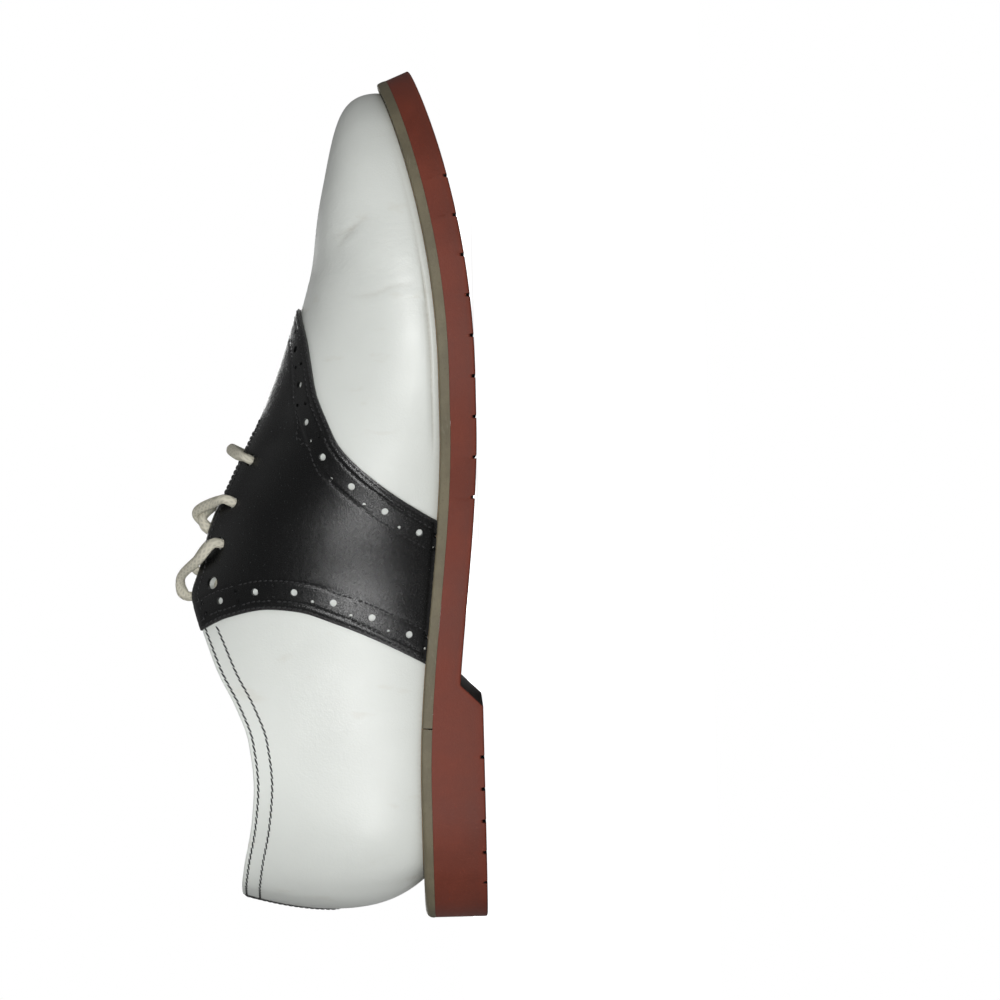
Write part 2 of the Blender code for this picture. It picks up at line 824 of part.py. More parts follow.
def over_facing(side, share, distance):
    """Middle of a lace that lies on the facing, a distance out from the facing's edge."""
    climb = climb_below_top(side, share, distance)
    lift = OVERLAY_GAP + OVERLAY_THICKNESS + LACE_CLEARANCE + LACE_DIAMETER / 2
    return upper_point(side, share, climb) + upper_normal(side, share, climb) * lift


def throat_middle(share, lift):
    """Point over the middle of the throat, square to its slope."""
    square = Vector((0.0, -top_slope(share), 1.0)).normalized()
    return (rib_top(MEDIAL, share) + rib_top(LATERAL, share)) / 2 + square * lift


def tail_place(side, share, lift):
    """Middle of a lace that dips into the throat by the facing's edge on the far side."""
    tail = throat_middle(share, lift)
    tail.x -= side * max(half_gap(share) - LACE_DIAMETER / 2 - LACE_TAIL_CLEARANCE, 0.0)
    return tail


def lace_strand(side, row):
    """Lace from an eyelet, over the facing's edge and the crossing, down into the throat's far side."""
    start = eyelet_row_share(row)
    end = eyelet_row_share(row + 1)
    return bend([over_facing(side, start, EYELET_SETBACK),
                 over_facing(side, start + (end - start) * 0.12, EYELET_SETBACK * 0.4),
                 throat_middle((start + end) / 2, LACE_CROSSING_LIFT),
                 tail_place(side, start * 0.3 + end * 0.7, LACE_TAIL_LIFT)])


def low_strand(side, row):
    """Lace that crosses low in the throat, on the tongue."""
    start = eyelet_row_share(row)
    end = eyelet_row_share(row + 1)
    on_tongue = LACE_DIAMETER / 2 + 2 * GAP - tongue_depth(start)
    return bend([tail_place(-side, start * 0.7 + end * 0.3, on_tongue),
                 throat_middle((start + end) / 2, on_tongue),
                 tail_place(side, start * 0.3 + end * 0.7, on_tongue)])


def make_lace(surface):
    """The lace starts with a bar over the lowest eyelets, crosses low once, then over each pair of rows."""
    ends = [over_facing(side, eyelet_row_share(0), EYELET_SETBACK) for side in (MEDIAL, LATERAL)]
    edges = [over_facing(side, eyelet_row_share(0), EYELET_SETBACK * 0.4) for side in (MEDIAL, LATERAL)]
    middle = throat_middle(eyelet_row_share(0), LACE_CROSSING_LIFT)
    tube("lace_bar", bend([ends[0], edges[0], middle, edges[1], ends[1]]), surface)
    for row in range(EYELET_ROWS - 1):
        strand = low_strand if row == 0 else lace_strand
        near = tube("lace_cross_%d" % (row + 1), strand(MEDIAL, row), surface)
        far = tube("lace_far_strand_%d" % (row + 1), strand(LATERAL, row), surface)
        hide_as_guide(far)
        join = near.modifiers.new("crossing", "BOOLEAN")
        join.operation = "UNION"
        join.solver = "MANIFOLD"
        join.object = far


def build():
    clear_scene()
    white = material("white_leather", (0.68, 0.70, 0.67), 0.42)
    black = material("black_leather", (0.012, 0.012, 0.013), 0.38)
    olive = material("welt_olive", (0.19, 0.17, 0.12), 0.6)
    brick = material("brick_rubber", (0.19, 0.06, 0.042), 0.62)
    tan = material("insole_tan", (0.45, 0.33, 0.2), 0.6)
    cotton = material("lace_cotton", (0.52, 0.5, 0.4), 0.85)
    make_outsole(brick)
    make_welt(olive)
    make_heel_rand(olive)
    make_insole(tan)
    plugs = make_eyelet_cutter()
    cut_away(make_upper(white), plugs)
    make_saddle(black, plugs)
    make_backstay(black)
    make_tongue(white)
    make_lace(cotton)


build()
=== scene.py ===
"""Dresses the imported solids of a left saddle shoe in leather, thread, lace and rubber.

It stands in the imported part's own frame: metres, Z up, toe towards -Y, heel towards +Y, medial side at -X.
"""

import math
from bisect import bisect_right
from functools import lru_cache

import bmesh
import bpy
from bpy.props import FloatProperty, FloatVectorProperty, PointerProperty
from bpy.types import Operator, Panel, PropertyGroup
from mathutils import Matrix, Vector, noise
from mathutils.bvhtree import BVHTree
from mathutils.kdtree import KDTree


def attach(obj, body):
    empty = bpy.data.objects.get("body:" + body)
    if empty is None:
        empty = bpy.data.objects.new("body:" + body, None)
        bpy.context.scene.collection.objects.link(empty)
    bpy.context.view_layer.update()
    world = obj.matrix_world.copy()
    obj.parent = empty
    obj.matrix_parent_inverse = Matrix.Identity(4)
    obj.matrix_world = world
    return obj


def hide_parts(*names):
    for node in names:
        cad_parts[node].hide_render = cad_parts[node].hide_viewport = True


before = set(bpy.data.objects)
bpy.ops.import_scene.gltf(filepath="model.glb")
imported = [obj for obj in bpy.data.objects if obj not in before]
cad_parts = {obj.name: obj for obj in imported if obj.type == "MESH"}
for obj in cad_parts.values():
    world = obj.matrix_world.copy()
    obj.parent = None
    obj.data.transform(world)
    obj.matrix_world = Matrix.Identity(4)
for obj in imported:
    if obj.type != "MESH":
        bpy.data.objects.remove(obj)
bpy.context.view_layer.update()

bl_info = {
    "name": "Saddle shoe",
    "version": (1, 0, 0),
    "blender": (4, 5, 0),
    "location": "3D View > Sidebar > Shoe",
    "description": "Builds the leather, stitching, lace and sole of a saddle shoe over its packed solids",
    "category": "Object",
}

MM = 0.001
MEDIAL = -1
LATERAL = 1

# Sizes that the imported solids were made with, and a few of the scene's own
SOLE_LENGTH = 300 * MM
BALL_WIDTH = 106 * MM
TOE_SPRING = 20.5 * MM
SEAT_LIFT = 9.5 * MM
OUTSOLE_THICKNESS = 8.9 * MM
WELT_THICKNESS = 3.5 * MM
WELT_TOP = OUTSOLE_THICKNESS + WELT_THICKNESS
TREAD_BEVEL = 0.8 * MM
WELT_BEVEL = 0.7 * MM
WELT_CHANNEL = 0.35 * MM
RAND_BEVEL = 3.6 * MM
GROOVE_WIDTH = 1.3 * MM
GROOVE_DEPTH = 1.2 * MM
GROOVE_SLOPE = 0.15 * GROOVE_WIDTH
BREAST_SLANT = 7.4 * MM
INSTEP_HEIGHT = 101 * MM
COLLAR_WIDTH = 56 * MM
UPPER_WALL = 2.0 * MM
OVERLAY_THICKNESS = 1.2 * MM
OVERLAY_GAP = 0.4 * MM
OVERLAY_TOP = OVERLAY_GAP + OVERLAY_THICKNESS
TOE_LEDGE = 3.0 * MM
SIDE_LEDGE = 5.0 * MM
HEEL_LEDGE = 14.0 * MM
INSOLE_RISE = 2.6 * MM
INSOLE_CLEARANCE = 0.6 * MM
TONGUE_THICKNESS = 2.4 * MM
TONGUE_CLEARANCE = 0.6 * MM
LACE_ROOM = 1.8 * MM
EYELET_DIAMETER = 4.4 * MM
EYELET_SETBACK = 9.0 * MM
BACKSTAY_HALF_WIDTH = 5.5 * MM
BACKSTAY_TAPER = 0.3
BACKSTAY_RISE = 0.45 * MM
BACKSTAY_THICKNESS = 0.6 * MM
OVERLAY_START = 0.2 * MM
GAP = 0.3 * MM

# Places along the shoe, as shares of the sole's length from the toe tip. Grooves: first, last, how many
TREAD_FLAT_FRONT = 0.365
TREAD_FLAT_BACK = 0.4174
SEAT_FLAT = 0.8395
HEEL_BREAST = 0.7194
WELT_JOINT = 0.7705
THROAT_FRONT = 0.395
FIRST_EYELET_ROW = 0.4495
LAST_EYELET_ROW = 0.5957
EYELET_ROWS = 4
TONGUE_FRONT = 0.365
TONGUE_BACK = 0.628
FOREFOOT_GROOVES = (0.139, 0.504, 9)
HEEL_GROOVES = (0.802, 0.949, 5)
BACKSTAY_FOOT = 0.50
BACKSTAY_TOP = 0.985
ENDS_BEGIN = 0.25
SADDLE_ROW_CROWDING = 1.8

# The sole's plan: along, medial and lateral half widths
OUTLINE = [
    (0.000, 0.035, -0.035),
    (0.020, 0.225, 0.165),
    (0.050, 0.325, 0.275),
    (0.100, 0.410, 0.375),
    (0.160, 0.458, 0.440),
    (0.230, 0.482, 0.487),
    (0.300, 0.484, 0.512),
    (0.370, 0.462, 0.516),
    (0.450, 0.398, 0.488),
    (0.530, 0.330, 0.435),
    (0.610, 0.295, 0.385),
    (0.700, 0.298, 0.350),
    (0.800, 0.322, 0.338),
    (0.870, 0.328, 0.330),
    (0.930, 0.298, 0.298),
    (0.970, 0.222, 0.222),
    (1.000, 0.000, 0.000),
]

# The upper's top line: station, along, height, half gap, middle
TOP_LINE = [
    (0.000, 0.1600, 0.527, 0.000, -0.035),
    (0.050, 0.1725, 0.535, 0.000, -0.034),
    (0.120, 0.1984, 0.549, 0.000, -0.032),
    (0.200, 0.2400, 0.569, 0.000, -0.030),
    (0.270, 0.2869, 0.609, 0.000, -0.030),
    (0.340, 0.3437, 0.665, 0.000, -0.030),
    (0.395, 0.3950, 0.728, 0.000, -0.033),
    (0.430, 0.4300, 0.776, 0.074, -0.034),
    (0.480, 0.4800, 0.853, 0.098, -0.035),
    (0.530, 0.5300, 0.924, 0.116, -0.035),
    (0.580, 0.5800, 0.966, 0.134, -0.033),
    (0.612, 0.6120, 0.996, 0.160, -0.030),
    (0.640, 0.6400, 0.978, 0.232, -0.026),
    (0.670, 0.6700, 0.946, 0.320, -0.021),
    (0.700, 0.7000, 0.911, 0.384, -0.016),
    (0.740, 0.7400, 0.851, 0.446, -0.010),
    (0.780, 0.7800, 0.809, 0.482, -0.005),
    (0.830, 0.8290, 0.794, 0.500, 0.000),
    (0.880, 0.8750, 0.806, 0.473, 0.000),
    (0.940, 0.9243, 0.838, 0.370, 0.000),
    (0.980, 0.9540, 0.855, 0.215, 0.000),
    (1.000, 0.9680, 0.860, 0.000, 0.000),
]

# The upper's ribs: station, foot angle, foot handle, top angle, top handle
RIBS = [
    (0.00, 2.0, 0.36, 0.0, 0.58),
    (0.05, 4.0, 0.40, 0.0, 0.55),
    (0.12, 8.0, 0.42, 0.0, 0.52),
    (0.22, 11.0, 0.40, 0.0, 0.45),
    (0.33, 12.0, 0.36, 0.0, 0.38),
    (0.395, 13.0, 0.37, 5.0, 0.34),
    (0.45, 16.0, 0.38, 18.0, 0.30),
    (0.55, 20.0, 0.38, 32.0, 0.30),
    (0.62, 19.0, 0.36, 52.0, 0.30),
    (0.70, 15.0, 0.34, 78.0, 0.30),
    (0.80, 13.0, 0.33, 84.0, 0.30),
    (0.90, 22.0, 0.33, 80.0, 0.33),
    (1.00, 42.0, 0.34, 74.0, 0.36),
]

# The saddle's front and back edges: share of the height, along
SADDLE_FRONT = [
    (0.00, 0.530),
    (0.21, 0.497),
    (0.38, 0.468),
    (0.52, 0.440),
    (0.62, 0.411),
    (0.71, 0.383),
    (0.78, 0.354),
    (0.87, 0.315),
    (1.00, 0.277),
]
SADDLE_BACK = [
    (0.00, 0.6956),
    (0.22, 0.6670),
    (0.40, 0.6460),
    (0.56, 0.6310),
    (0.68, 0.6280),
    (0.86, 0.6370),
    (1.00, 0.6520),
]

# Creases worn into the vamp: side, corners as (y, z) in mm, width and depth in mm, ridge beside it.
# Narrow creases get painted shade along their bottom; those wider than the limit are soft hollows, with none.
HOLLOW_WIDTH = 4.0
CREASES = [
    (MEDIAL, [(-88.5, 49.5), (-90.3, 46.0), (-91.5, 42.2), (-94.0, 38.4), (-97.0, 34.5)], 1.8, 0.15, 0.4),
    (MEDIAL, [(-85.0, 47.4), (-88.6, 44.4), (-93.0, 39.8)], 1.6, 0.11, 0.4),
    (MEDIAL, [(-74.0, 57.0), (-87.2, 46.7), (-104.0, 28.0)], 8.0, 1.00, 0.0),
    (MEDIAL, [(-68.9, 44.0), (-68.2, 38.5), (-68.6, 33.3), (-70.8, 28.2), (-72.4, 18.0)], 1.6, 0.12, 0.4),
    (LATERAL, [(-84.0, 49.0), (-88.0, 44.5), (-91.5, 39.0), (-95.0, 33.0)], 1.7, 0.24, 0.5),
    (LATERAL, [(-73.0, 54.0), (-86.0, 45.0), (-103.0, 27.0)], 8.0, 0.95, 0.0),
    (LATERAL, [(-66.0, 46.0), (-67.6, 40.0), (-69.4, 34.0), (-72.6, 26.0)], 1.6, 0.20, 0.5),
]

# Stitch rows and the holes between them: how far in from an edge, and from where to where along the shoe
EDGE_ROW = 1.1 * MM
SECOND_ROW = 3.1 * MM
BAND_ROW = 10.2 * MM
HOLE_ROW = 6.6 * MM
HOLE_PAIR_SPREAD = 2.0 * MM
HOLE_PITCH = 14.1 * MM
HOLE_CLEARANCE = 2.4 * MM
THROUGH_HOLE = 5.0 * MM
BLIND_HOLE = 1.5 * MM
BLIND_ABOVE = 60 * MM
EYELET_PUNCH = 12 * MM
FIRST_HOLE = 7.2 * MM
COLLAR_ROWS = (1.7 * MM, 6.6 * MM)
COLLAR_SPAN = (0.650, 0.998)
FACING_ROWS = (1.1 * MM, 3.3 * MM)
FACING_SPAN = (0.408, 0.640)
FEATHER_SEAM = 2.3 * MM

# Light that reaches the shoe from all round, against the white that the camera sees
WORLD_LIGHT = 0.21


def turn(share):
    """Even steps of this are close together at both ends of the shoe, where it curves most."""
    return math.acos(1 - 2 * min(max(share, 0.0), 1.0)) / math.pi


def share_of_turn(angle):
    return (1 - math.cos(math.pi * angle)) / 2


def even(first, last, count):
    """Numbers in even steps, both ends among them."""
    return [first + (last - first) * k / (count - 1) for k in range(count)]


class Curve:
    """The smooth curve through a table's points, with no overshoot between them."""

    def __init__(self, places, values, level_ends=False):
        self.places = places
        self.values = values
        steps = [(values[i + 1] - values[i]) / (places[i + 1] - places[i]) for i in range(len(places) - 1)]
        slopes = [0.0 if level_ends else steps[0]]
        for before, after in zip(steps, steps[1:]):
            slopes.append(2 * before * after / (before + after) if before * after > 0 else 0.0)
        slopes.append(0.0 if level_ends else steps[-1])
        self.slopes = slopes

    def __call__(self, at):
        places, values, slopes = self.places, self.values, self.slopes
        if at <= places[0]:
            return values[0]
        if at >= places[-1]:
            return values[-1]
        i = bisect_right(places, at) - 1
        span = places[i + 1] - places[i]
        s = (at - places[i]) / span
        start = (1 + 2 * s) * (1 - s) ** 2 * values[i] + s * (1 - s) ** 2 * span * slopes[i]
        end = s * s * (3 - 2 * s) * values[i + 1] + s * s * (s - 1) * span * slopes[i + 1]
        return start + end


def column_curve(table, column, level_ends=True):
    return Curve([turn(row[0]) for row in table], [row[column] for row in table], level_ends)


def edge_curve(table):
    return Curve([row[0] for row in table], [row[1] for row in table])


WIDTH_CURVES = {MEDIAL: column_curve(OUTLINE, 1, False), LATERAL: column_curve(OUTLINE, 2, False)}
TOP_ALONG = column_curve(TOP_LINE, 1)
TOP_HEIGHT = column_curve(TOP_LINE, 2)
TOP_GAP = column_curve(TOP_LINE, 3, False)
TOP_MIDDLE = column_curve(TOP_LINE, 4)
RIB_CURVES = [column_curve(RIBS, column) for column in (1, 2, 3, 4)]
FRONT_EDGE = edge_curve(SADDLE_FRONT)
BACK_EDGE = edge_curve(SADDLE_BACK)
SEAM_STRENGTH = Curve([0.05, 0.2, 0.3, 0.42, 0.47], [0.0, 0.4, 1.0, 0.8, 0.0])
GROOVES = even(*FOREFOOT_GROOVES) + even(*HEEL_GROOVES)


def underside(share):
    """Height of the sole's underside, as if the heel block were away."""
    if share < TREAD_FLAT_FRONT:
        return TOE_SPRING * ((TREAD_FLAT_FRONT - share) / TREAD_FLAT_FRONT) ** 2
    s = min(max((share - TREAD_FLAT_BACK) / (SEAT_FLAT - TREAD_FLAT_BACK), 0.0), 1.0)
    return SEAT_LIFT * s * s * (3 - 2 * s)


def underside_angle(share):
    step = 0.001
    rise = underside(share + step) - underside(share - step)
    return math.atan2(rise, 2 * step * SOLE_LENGTH)


def length_place(share, depth):
    return (share - 0.5) * SOLE_LENGTH - depth * math.sin(underside_angle(share))


def sole_height(y, depth):
    share = y / SOLE_LENGTH + 0.5
    for _ in range(6):
        share += (y - length_place(share, depth)) / SOLE_LENGTH
    return underside(share) + depth * math.cos(underside_angle(share))


def half_width(side, share):
    return BALL_WIDTH * WIDTH_CURVES[side](turn(share))


def middle_of_ball():
    shares = [share_of_turn(i / 42) for i in range(43)]
    return (max(half_width(LATERAL, s) for s in shares) - max(half_width(MEDIAL, s) for s in shares)) / 2


HEEL_LINE_X = -middle_of_ball()


def edge_place(side, share, depth):
    return Vector((HEEL_LINE_X + side * half_width(side, share), length_place(share, depth)))


def outward(side, share, depth):
    """Level direction out of the sole's edge."""
    angle = turn(share)
    step = 0.004
    if angle < step:
        return Vector((0.0, -1.0))
    if angle > 1 - step:
        return Vector((0.0, 1.0))
    before = edge_place(side, share_of_turn(max(angle - step, 0.0)), depth)
    after = edge_place(side, share_of_turn(min(angle + step, 1.0)), depth)
    edge = (after - before).normalized()
    return Vector((side * edge.y, -side * edge.x))


def sole_point(side, share, depth, inset=0.0):
    """Point at a depth above the underside, moved in from the sole's edge."""
    place = edge_place(side, share, depth) - outward(side, share, depth) * inset
    return Vector((place.x, place.y, sole_height(place.y, depth)))


def soft_ramp(amount):
    """Close to 0 below 0 and to the amount above it, with no kink between."""
    return math.log1p(math.exp(amount / 0.06)) * 0.06


@lru_cache(maxsize=None)
def ledge(side, share):
    """How far the upper stands in from the sole's edge, evened out over its neighbours."""
    middle = turn(share)
    near = [min(max(middle + k * 0.009, 0.0), 1.0) for k in range(-4, 5)]
    facing = sum(outward(side, share_of_turn(angle), WELT_TOP).y for angle in near) / len(near)
    to_toe = soft_ramp((-facing - ENDS_BEGIN) / (1 - ENDS_BEGIN))
    to_heel = soft_ramp((facing - ENDS_BEGIN) / (1 - ENDS_BEGIN))
    return SIDE_LEDGE + (TOE_LEDGE - SIDE_LEDGE) * to_toe + (HEEL_LEDGE - SIDE_LEDGE) * to_heel


def rib_foot(side, share):
    return sole_point(side, share, WELT_TOP + GAP, ledge(side, share))


def half_gap(share):
    return COLLAR_WIDTH * TOP_GAP(turn(share))


def rib_top(side, share):
    angle = turn(share)
    x = HEEL_LINE_X + BALL_WIDTH * TOP_MIDDLE(angle) + side * COLLAR_WIDTH * TOP_GAP(angle)
    return Vector((x, (TOP_ALONG(angle) - 0.5) * SOLE_LENGTH, INSTEP_HEIGHT * TOP_HEIGHT(angle)))


def top_slope(share):
    step = 0.01
    before = rib_top(MEDIAL, share - step)
    after = rib_top(MEDIAL, share + step)
    return (after.z - before.z) / max(after.y - before.y, 1e-9)


@lru_cache(maxsize=None)
def rib(side, share):
    """Four control points of the upper's rib at a share of the length."""
    foot = rib_foot(side, share)
    top = rib_top(side, share)
    reach = (top - foot).length
    flat = outward(side, share, WELT_TOP)
    out = Vector((flat.x, flat.y, 0.0))
    up = Vector((0.0, 0.0, 1.0))
    foot_angle, foot_handle, top_angle, top_handle = [curve(turn(share)) for curve in RIB_CURVES]
    lean = math.radians(foot_angle)
    fall = math.radians(top_angle)
    level = (out + up * out.y * top_slope(share) * math.cos(fall) ** 2).normalized()
    first = foot + (up * math.cos(lean) + out * math.sin(lean)) * reach * foot_handle
    second = top + (level * math.cos(fall) - up * math.sin(fall)) * reach * top_handle
    return foot, first, second, top


def upper_point(side, share, climb):
    """Outer face of the upper, climbed from the welt (0) to the rib's top (1)."""
    foot, first, second, top = rib(side, share)
    t = climb
    s = 1 - t
    return foot * (s * s * s) + first * (3 * t * s * s) + second * (3 * t * t * s) + top * (t * t * t)


def upper_normal(side, share, climb):
    step = 0.01
    up = upper_point(side, share, min(climb + step, 1.0)) - upper_point(side, share, max(climb - step, 0.0))
    back = upper_point(side, share + step, climb) - upper_point(side, share - step, climb)
    return (up.cross(back) * -side).normalized()


def climb_below_top(side, share, distance):
    """Climb of the point that lies a distance down the rib from its top."""
    climb = 1.0
    last = upper_point(side, share, climb)
    walked = 0.0
    while walked < distance and climb > 0:
        climb -= 0.004
        here = upper_point(side, share, climb)
        step = (here - last).length
        if walked + step >= distance:
            return climb + 0.004 * (1 - (distance - walked) / step)
        walked += step
        last = here
    return climb


def place_on_side(side, along, height_share):
    """Rib and climb of the point at a place along the sole and a share of the upper's height there."""
    share = along
    climb = height_share
    for _ in range(8):
        low, high = 0.0, 1.0
        foot = upper_point(side, share, 0.0).z
        top = upper_point(side, share, 1.0).z
        wanted = foot + (top - foot) * height_share
        for _ in range(16):
            climb = (low + high) / 2
            if upper_point(side, share, climb).z < wanted:
                low = climb
            else:
                high = climb
        if height_share >= 1:
            climb = 1.0
        miss = (along - 0.5) * SOLE_LENGTH - upper_point(side, share, climb).y
        share += 0.8 * miss / SOLE_LENGTH
    return share, climb


class SaddlePlan:
    """Rib and climb under each spot of the saddle: across from its front edge to its back, and up."""

    ACROSS = 18
    UP = 40

    def __init__(self):
        self.table = {}
        for side in (MEDIAL, LATERAL):
            for row in range(self.UP + 1):
                height = self.height_share(row / self.UP)
                front, back = FRONT_EDGE(height), BACK_EDGE(height)
                for column in range(self.ACROSS + 1):
                    along = front + (back - front) * column / self.ACROSS
                    self.table[side, column, row] = place_on_side(side, along, height)

    @staticmethod
    def height_share(up):
        lowest = OVERLAY_START / INSTEP_HEIGHT
        return 1 - (1 - lowest) * (1 - up) ** SADDLE_ROW_CROWDING

    def spot(self, side, across, up):
        """Share and climb on the upper, between the nearest four spots that were worked out."""
        x = min(max(across, 0.0), 1.0) * self.ACROSS
        y = min(max(up, 0.0), 1.0) * self.UP
        i = min(int(x), self.ACROSS - 1)
        j = min(int(y), self.UP - 1)
        x -= i
        y -= j
        share = climb = 0.0
        for column, part in ((i, 1 - x), (i + 1, x)):
            for row, other in ((j, 1 - y), (j + 1, y)):
                known = self.table[side, column, row]
                share += known[0] * part * other
                climb += known[1] * part * other
        return share, climb

    def point(self, side, across, up):
        return upper_point(side, *self.spot(side, across, up))


SADDLE = SaddlePlan()


def saddle_line(side, edge, inset, steps=90):
    """Points on the upper at a distance in from the saddle's front (0) or back (1) edge, from the foot up."""
    into = 1 if edge == 0 else -1
    line = []
    for k in range(steps + 1):
        up = k / steps
        here = SADDLE.point(side, edge, up)
        ahead = SADDLE.point(side, edge, min(up + 0.01, 1.0)) - SADDLE.point(side, edge, max(up - 0.01, 0.0))
        ahead.normalize()
        row = SADDLE.point(side, edge + into * 0.04, up) - here
        square = (row - ahead * row.dot(ahead)).length
        across = edge + into * 0.04 * inset / max(square, 1e-6)
        line.append(SADDLE.point(side, across, up))
    return line


def walk(line, pitch, start=0.0):
    """Evenly spaced points on a line of corners, and the way it runs at each."""
    places = []
    wanted = start
    walked = 0.0
    for a, b in zip(line, line[1:]):
        length = (b - a).length
        while length > 0 and wanted <= walked + length:
            places.append((a.lerp(b, (wanted - walked) / length), (b - a).normalized()))
            wanted += pitch
        walked += length
    return places


def off_line(corners, point):
    """Distance in mm from a point to a crease's line, both seen from the side, and the share of it passed."""
    y, z = point.y / MM, point.z / MM
    best = (1e9, 0.0)
    total = sum(math.dist(a, b) for a, b in zip(corners, corners[1:]))
    passed = 0.0
    for a, b in zip(corners, corners[1:]):
        length = math.dist(a, b)
        s = ((y - a[0]) * (b[0] - a[0]) + (z - a[1]) * (b[1] - a[1])) / length ** 2
        s = min(max(s, 0.0), 1.0)
        distance = math.hypot(y - a[0] - (b[0] - a[0]) * s, z - a[1] - (b[1] - a[1]) * s)
        if distance < best[0]:
            best = (distance, (passed + length * s) / total)
        passed += length
    return best


def crease_depth(point):
    """How far the vamp's creases lift or sink the leather here, and how much shade is painted into their
    bottoms.
    """
    side = MEDIAL if point.x < HEEL_LINE_X else LATERAL
    lift = crease_shade = 0.0
    for crease_side, corners, width, depth, ridge in CREASES:
        if crease_side != side:
            continue
        distance, along = off_line(corners, point)
        if distance > 4 * width:
            continue
        fade = math.sin(math.pi * along)
        trough = math.exp(-(distance / width) ** 2)
        beside = math.exp(-((distance - 1.8 * width) / width) ** 2)
        lift += depth * fade * (ridge * beside - trough)
        # Painted shade along the bottom of a narrow crease
        if width < HOLLOW_WIDTH:
            crease_shade += 0.22 * fade * math.exp(-(distance / (0.5 * width)) ** 2)
    return lift * MM, min(crease_shade, 1.0)


def waves(point):
    """Slow unevenness of leather that was pulled over a last."""
    return (noise.noise(point * 30.0) * 0.22 + noise.noise(point * 75.0) * 0.07) * MM


def new_piece(name, built, surfaces, smooth_angle=40):
    """Turns a bmesh into an object of the scene."""
    mesh = bpy.data.meshes.new(name)
    built.to_mesh(mesh)
    built.free()
    mesh.shade_smooth()
    mesh.set_sharp_from_angle(angle=math.radians(smooth_angle))
    for surface in surfaces:
        mesh.materials.append(surface)
    thing = bpy.data.objects.new(name, mesh)
    bpy.context.scene.collection.objects.link(thing)
    return thing


def belongs(thing, slot, *nodes):
    """The piece rides on the shoe's one body and hides the solids that it stands for; the slot is not used.
    """
    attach(thing, "root")
    if nodes:
        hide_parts(*nodes)


def lay_grid(built, columns, rows, place, flipped=False, layers=()):
    """Adds a grid whose corners stand where place(column, row) says, with its extra values in the layers."""
    made = bmesh.ops.create_grid(built, x_segments=columns, y_segments=rows, size=0.5)["verts"]
    for vertex in made:
        column = round((vertex.co.x + 0.5) * columns)
        row = round((vertex.co.y + 0.5) * rows)
        spot = place(column, row)
        if layers:
            spot, values = spot
            for layer, value in zip(layers, values):
                vertex[layer] = value
        vertex.co = spot
    if flipped:
        bmesh.ops.reverse_faces(built, faces=list({face for vertex in made for face in vertex.link_faces}))
    return made


def weld(built):
    bmesh.ops.remove_doubles(built, verts=built.verts, dist=1e-6)


def give_wall(built, way_in, inner_slot=0):
    """Closes a sheet into a wall: a second skin where way_in(vertex) says, and the edges between them."""
    built.normal_update()
    store = built.verts.layers.float_vector.new("way_in")
    for vertex in built.verts:
        vertex[store] = way_in(vertex)
    outer = list(built.faces)
    made = bmesh.ops.extrude_face_region(built, geom=outer, use_keep_orig=True)["geom"]
    inner = {item for item in made if isinstance(item, bmesh.types.BMFace)}
    for item in made:
        if isinstance(item, bmesh.types.BMVert):
            item.co += item[store]
    known = set(outer)
    edges = [face for face in built.faces if face not in known and face not in inner]
    for face in inner:
        face.material_index = inner_slot
    bmesh.ops.recalc_face_normals(built, faces=built.faces)
    if built.calc_volume(signed=True) < 0:
        bmesh.ops.reverse_faces(built, faces=built.faces)
    built.verts.layers.float_vector.remove(built.verts.layers.float_vector["way_in"])
    return edges


def soften_rims(built, edges, width, segments):
    """Rounds the edges along which the rim faces meet the two skins."""
    rims = set(edges)
    sharp = []
    for face in edges:
        for edge in face.edges:
            others = [other for other in edge.link_faces if other not in rims]
            if others:
                sharp.append(edge)
    bmesh.ops.bevel(built, geom=list(set(sharp)), offset=width, segments=segments, profile=0.5,
                    affect="EDGES", material=-1, clamp_overlap=True)


def apply_modifiers(thing):
    depsgraph = bpy.context.evaluated_depsgraph_get()
    finished = bpy.data.meshes.new_from_object(thing.evaluated_get(depsgraph))
    thing.modifiers.clear()
    old = thing.data
    thing.data = finished
    bpy.data.meshes.remove(old)
    finished.name = thing.name


def punch(thing, places, smooth_angle):
    """Cuts round holes: (middle, way out, radius, depth, sides) each."""
    built = bmesh.new()
    for middle, out, radius, depth, sides in places:
        turned = out.to_track_quat("Z", "Y").to_matrix().to_4x4()
        turned.translation = middle
        bmesh.ops.create_cone(built, cap_ends=True, segments=sides, radius1=radius, radius2=radius,
                              depth=depth, matrix=turned)
    cutter = new_piece("hole_cutter", built, [])
    cut = thing.modifiers.new("holes", "BOOLEAN")
    cut.operation = "DIFFERENCE"
    cut.solver = "MANIFOLD"
    cut.object = cutter
    apply_modifiers(thing)
    bpy.data.objects.remove(cutter, do_unlink=True)
    thing.data.shade_smooth()
    thing.data.set_sharp_from_angle(angle=math.radians(smooth_angle))


def skin_tree(thing, keep):
    """A search tree over the faces of a finished piece that keep(middle, normal) picks."""
    built = bmesh.new()
    built.from_mesh(thing.data)
    dropped = [face for face in built.faces if not keep(face.calc_center_median(), face.normal)]
    bmesh.ops.delete(built, geom=dropped, context="FACES")
    tree = BVHTree.FromBMesh(built)
    built.free()
    return tree


def faces_out(middle, normal):
    """True on the side of a wall that faces away from the foot."""
    return normal.dot(middle - Vector((HEEL_LINE_X, middle.y, 30 * MM))) > 0


def faces_up(middle, normal):
    return normal.z > 0.3


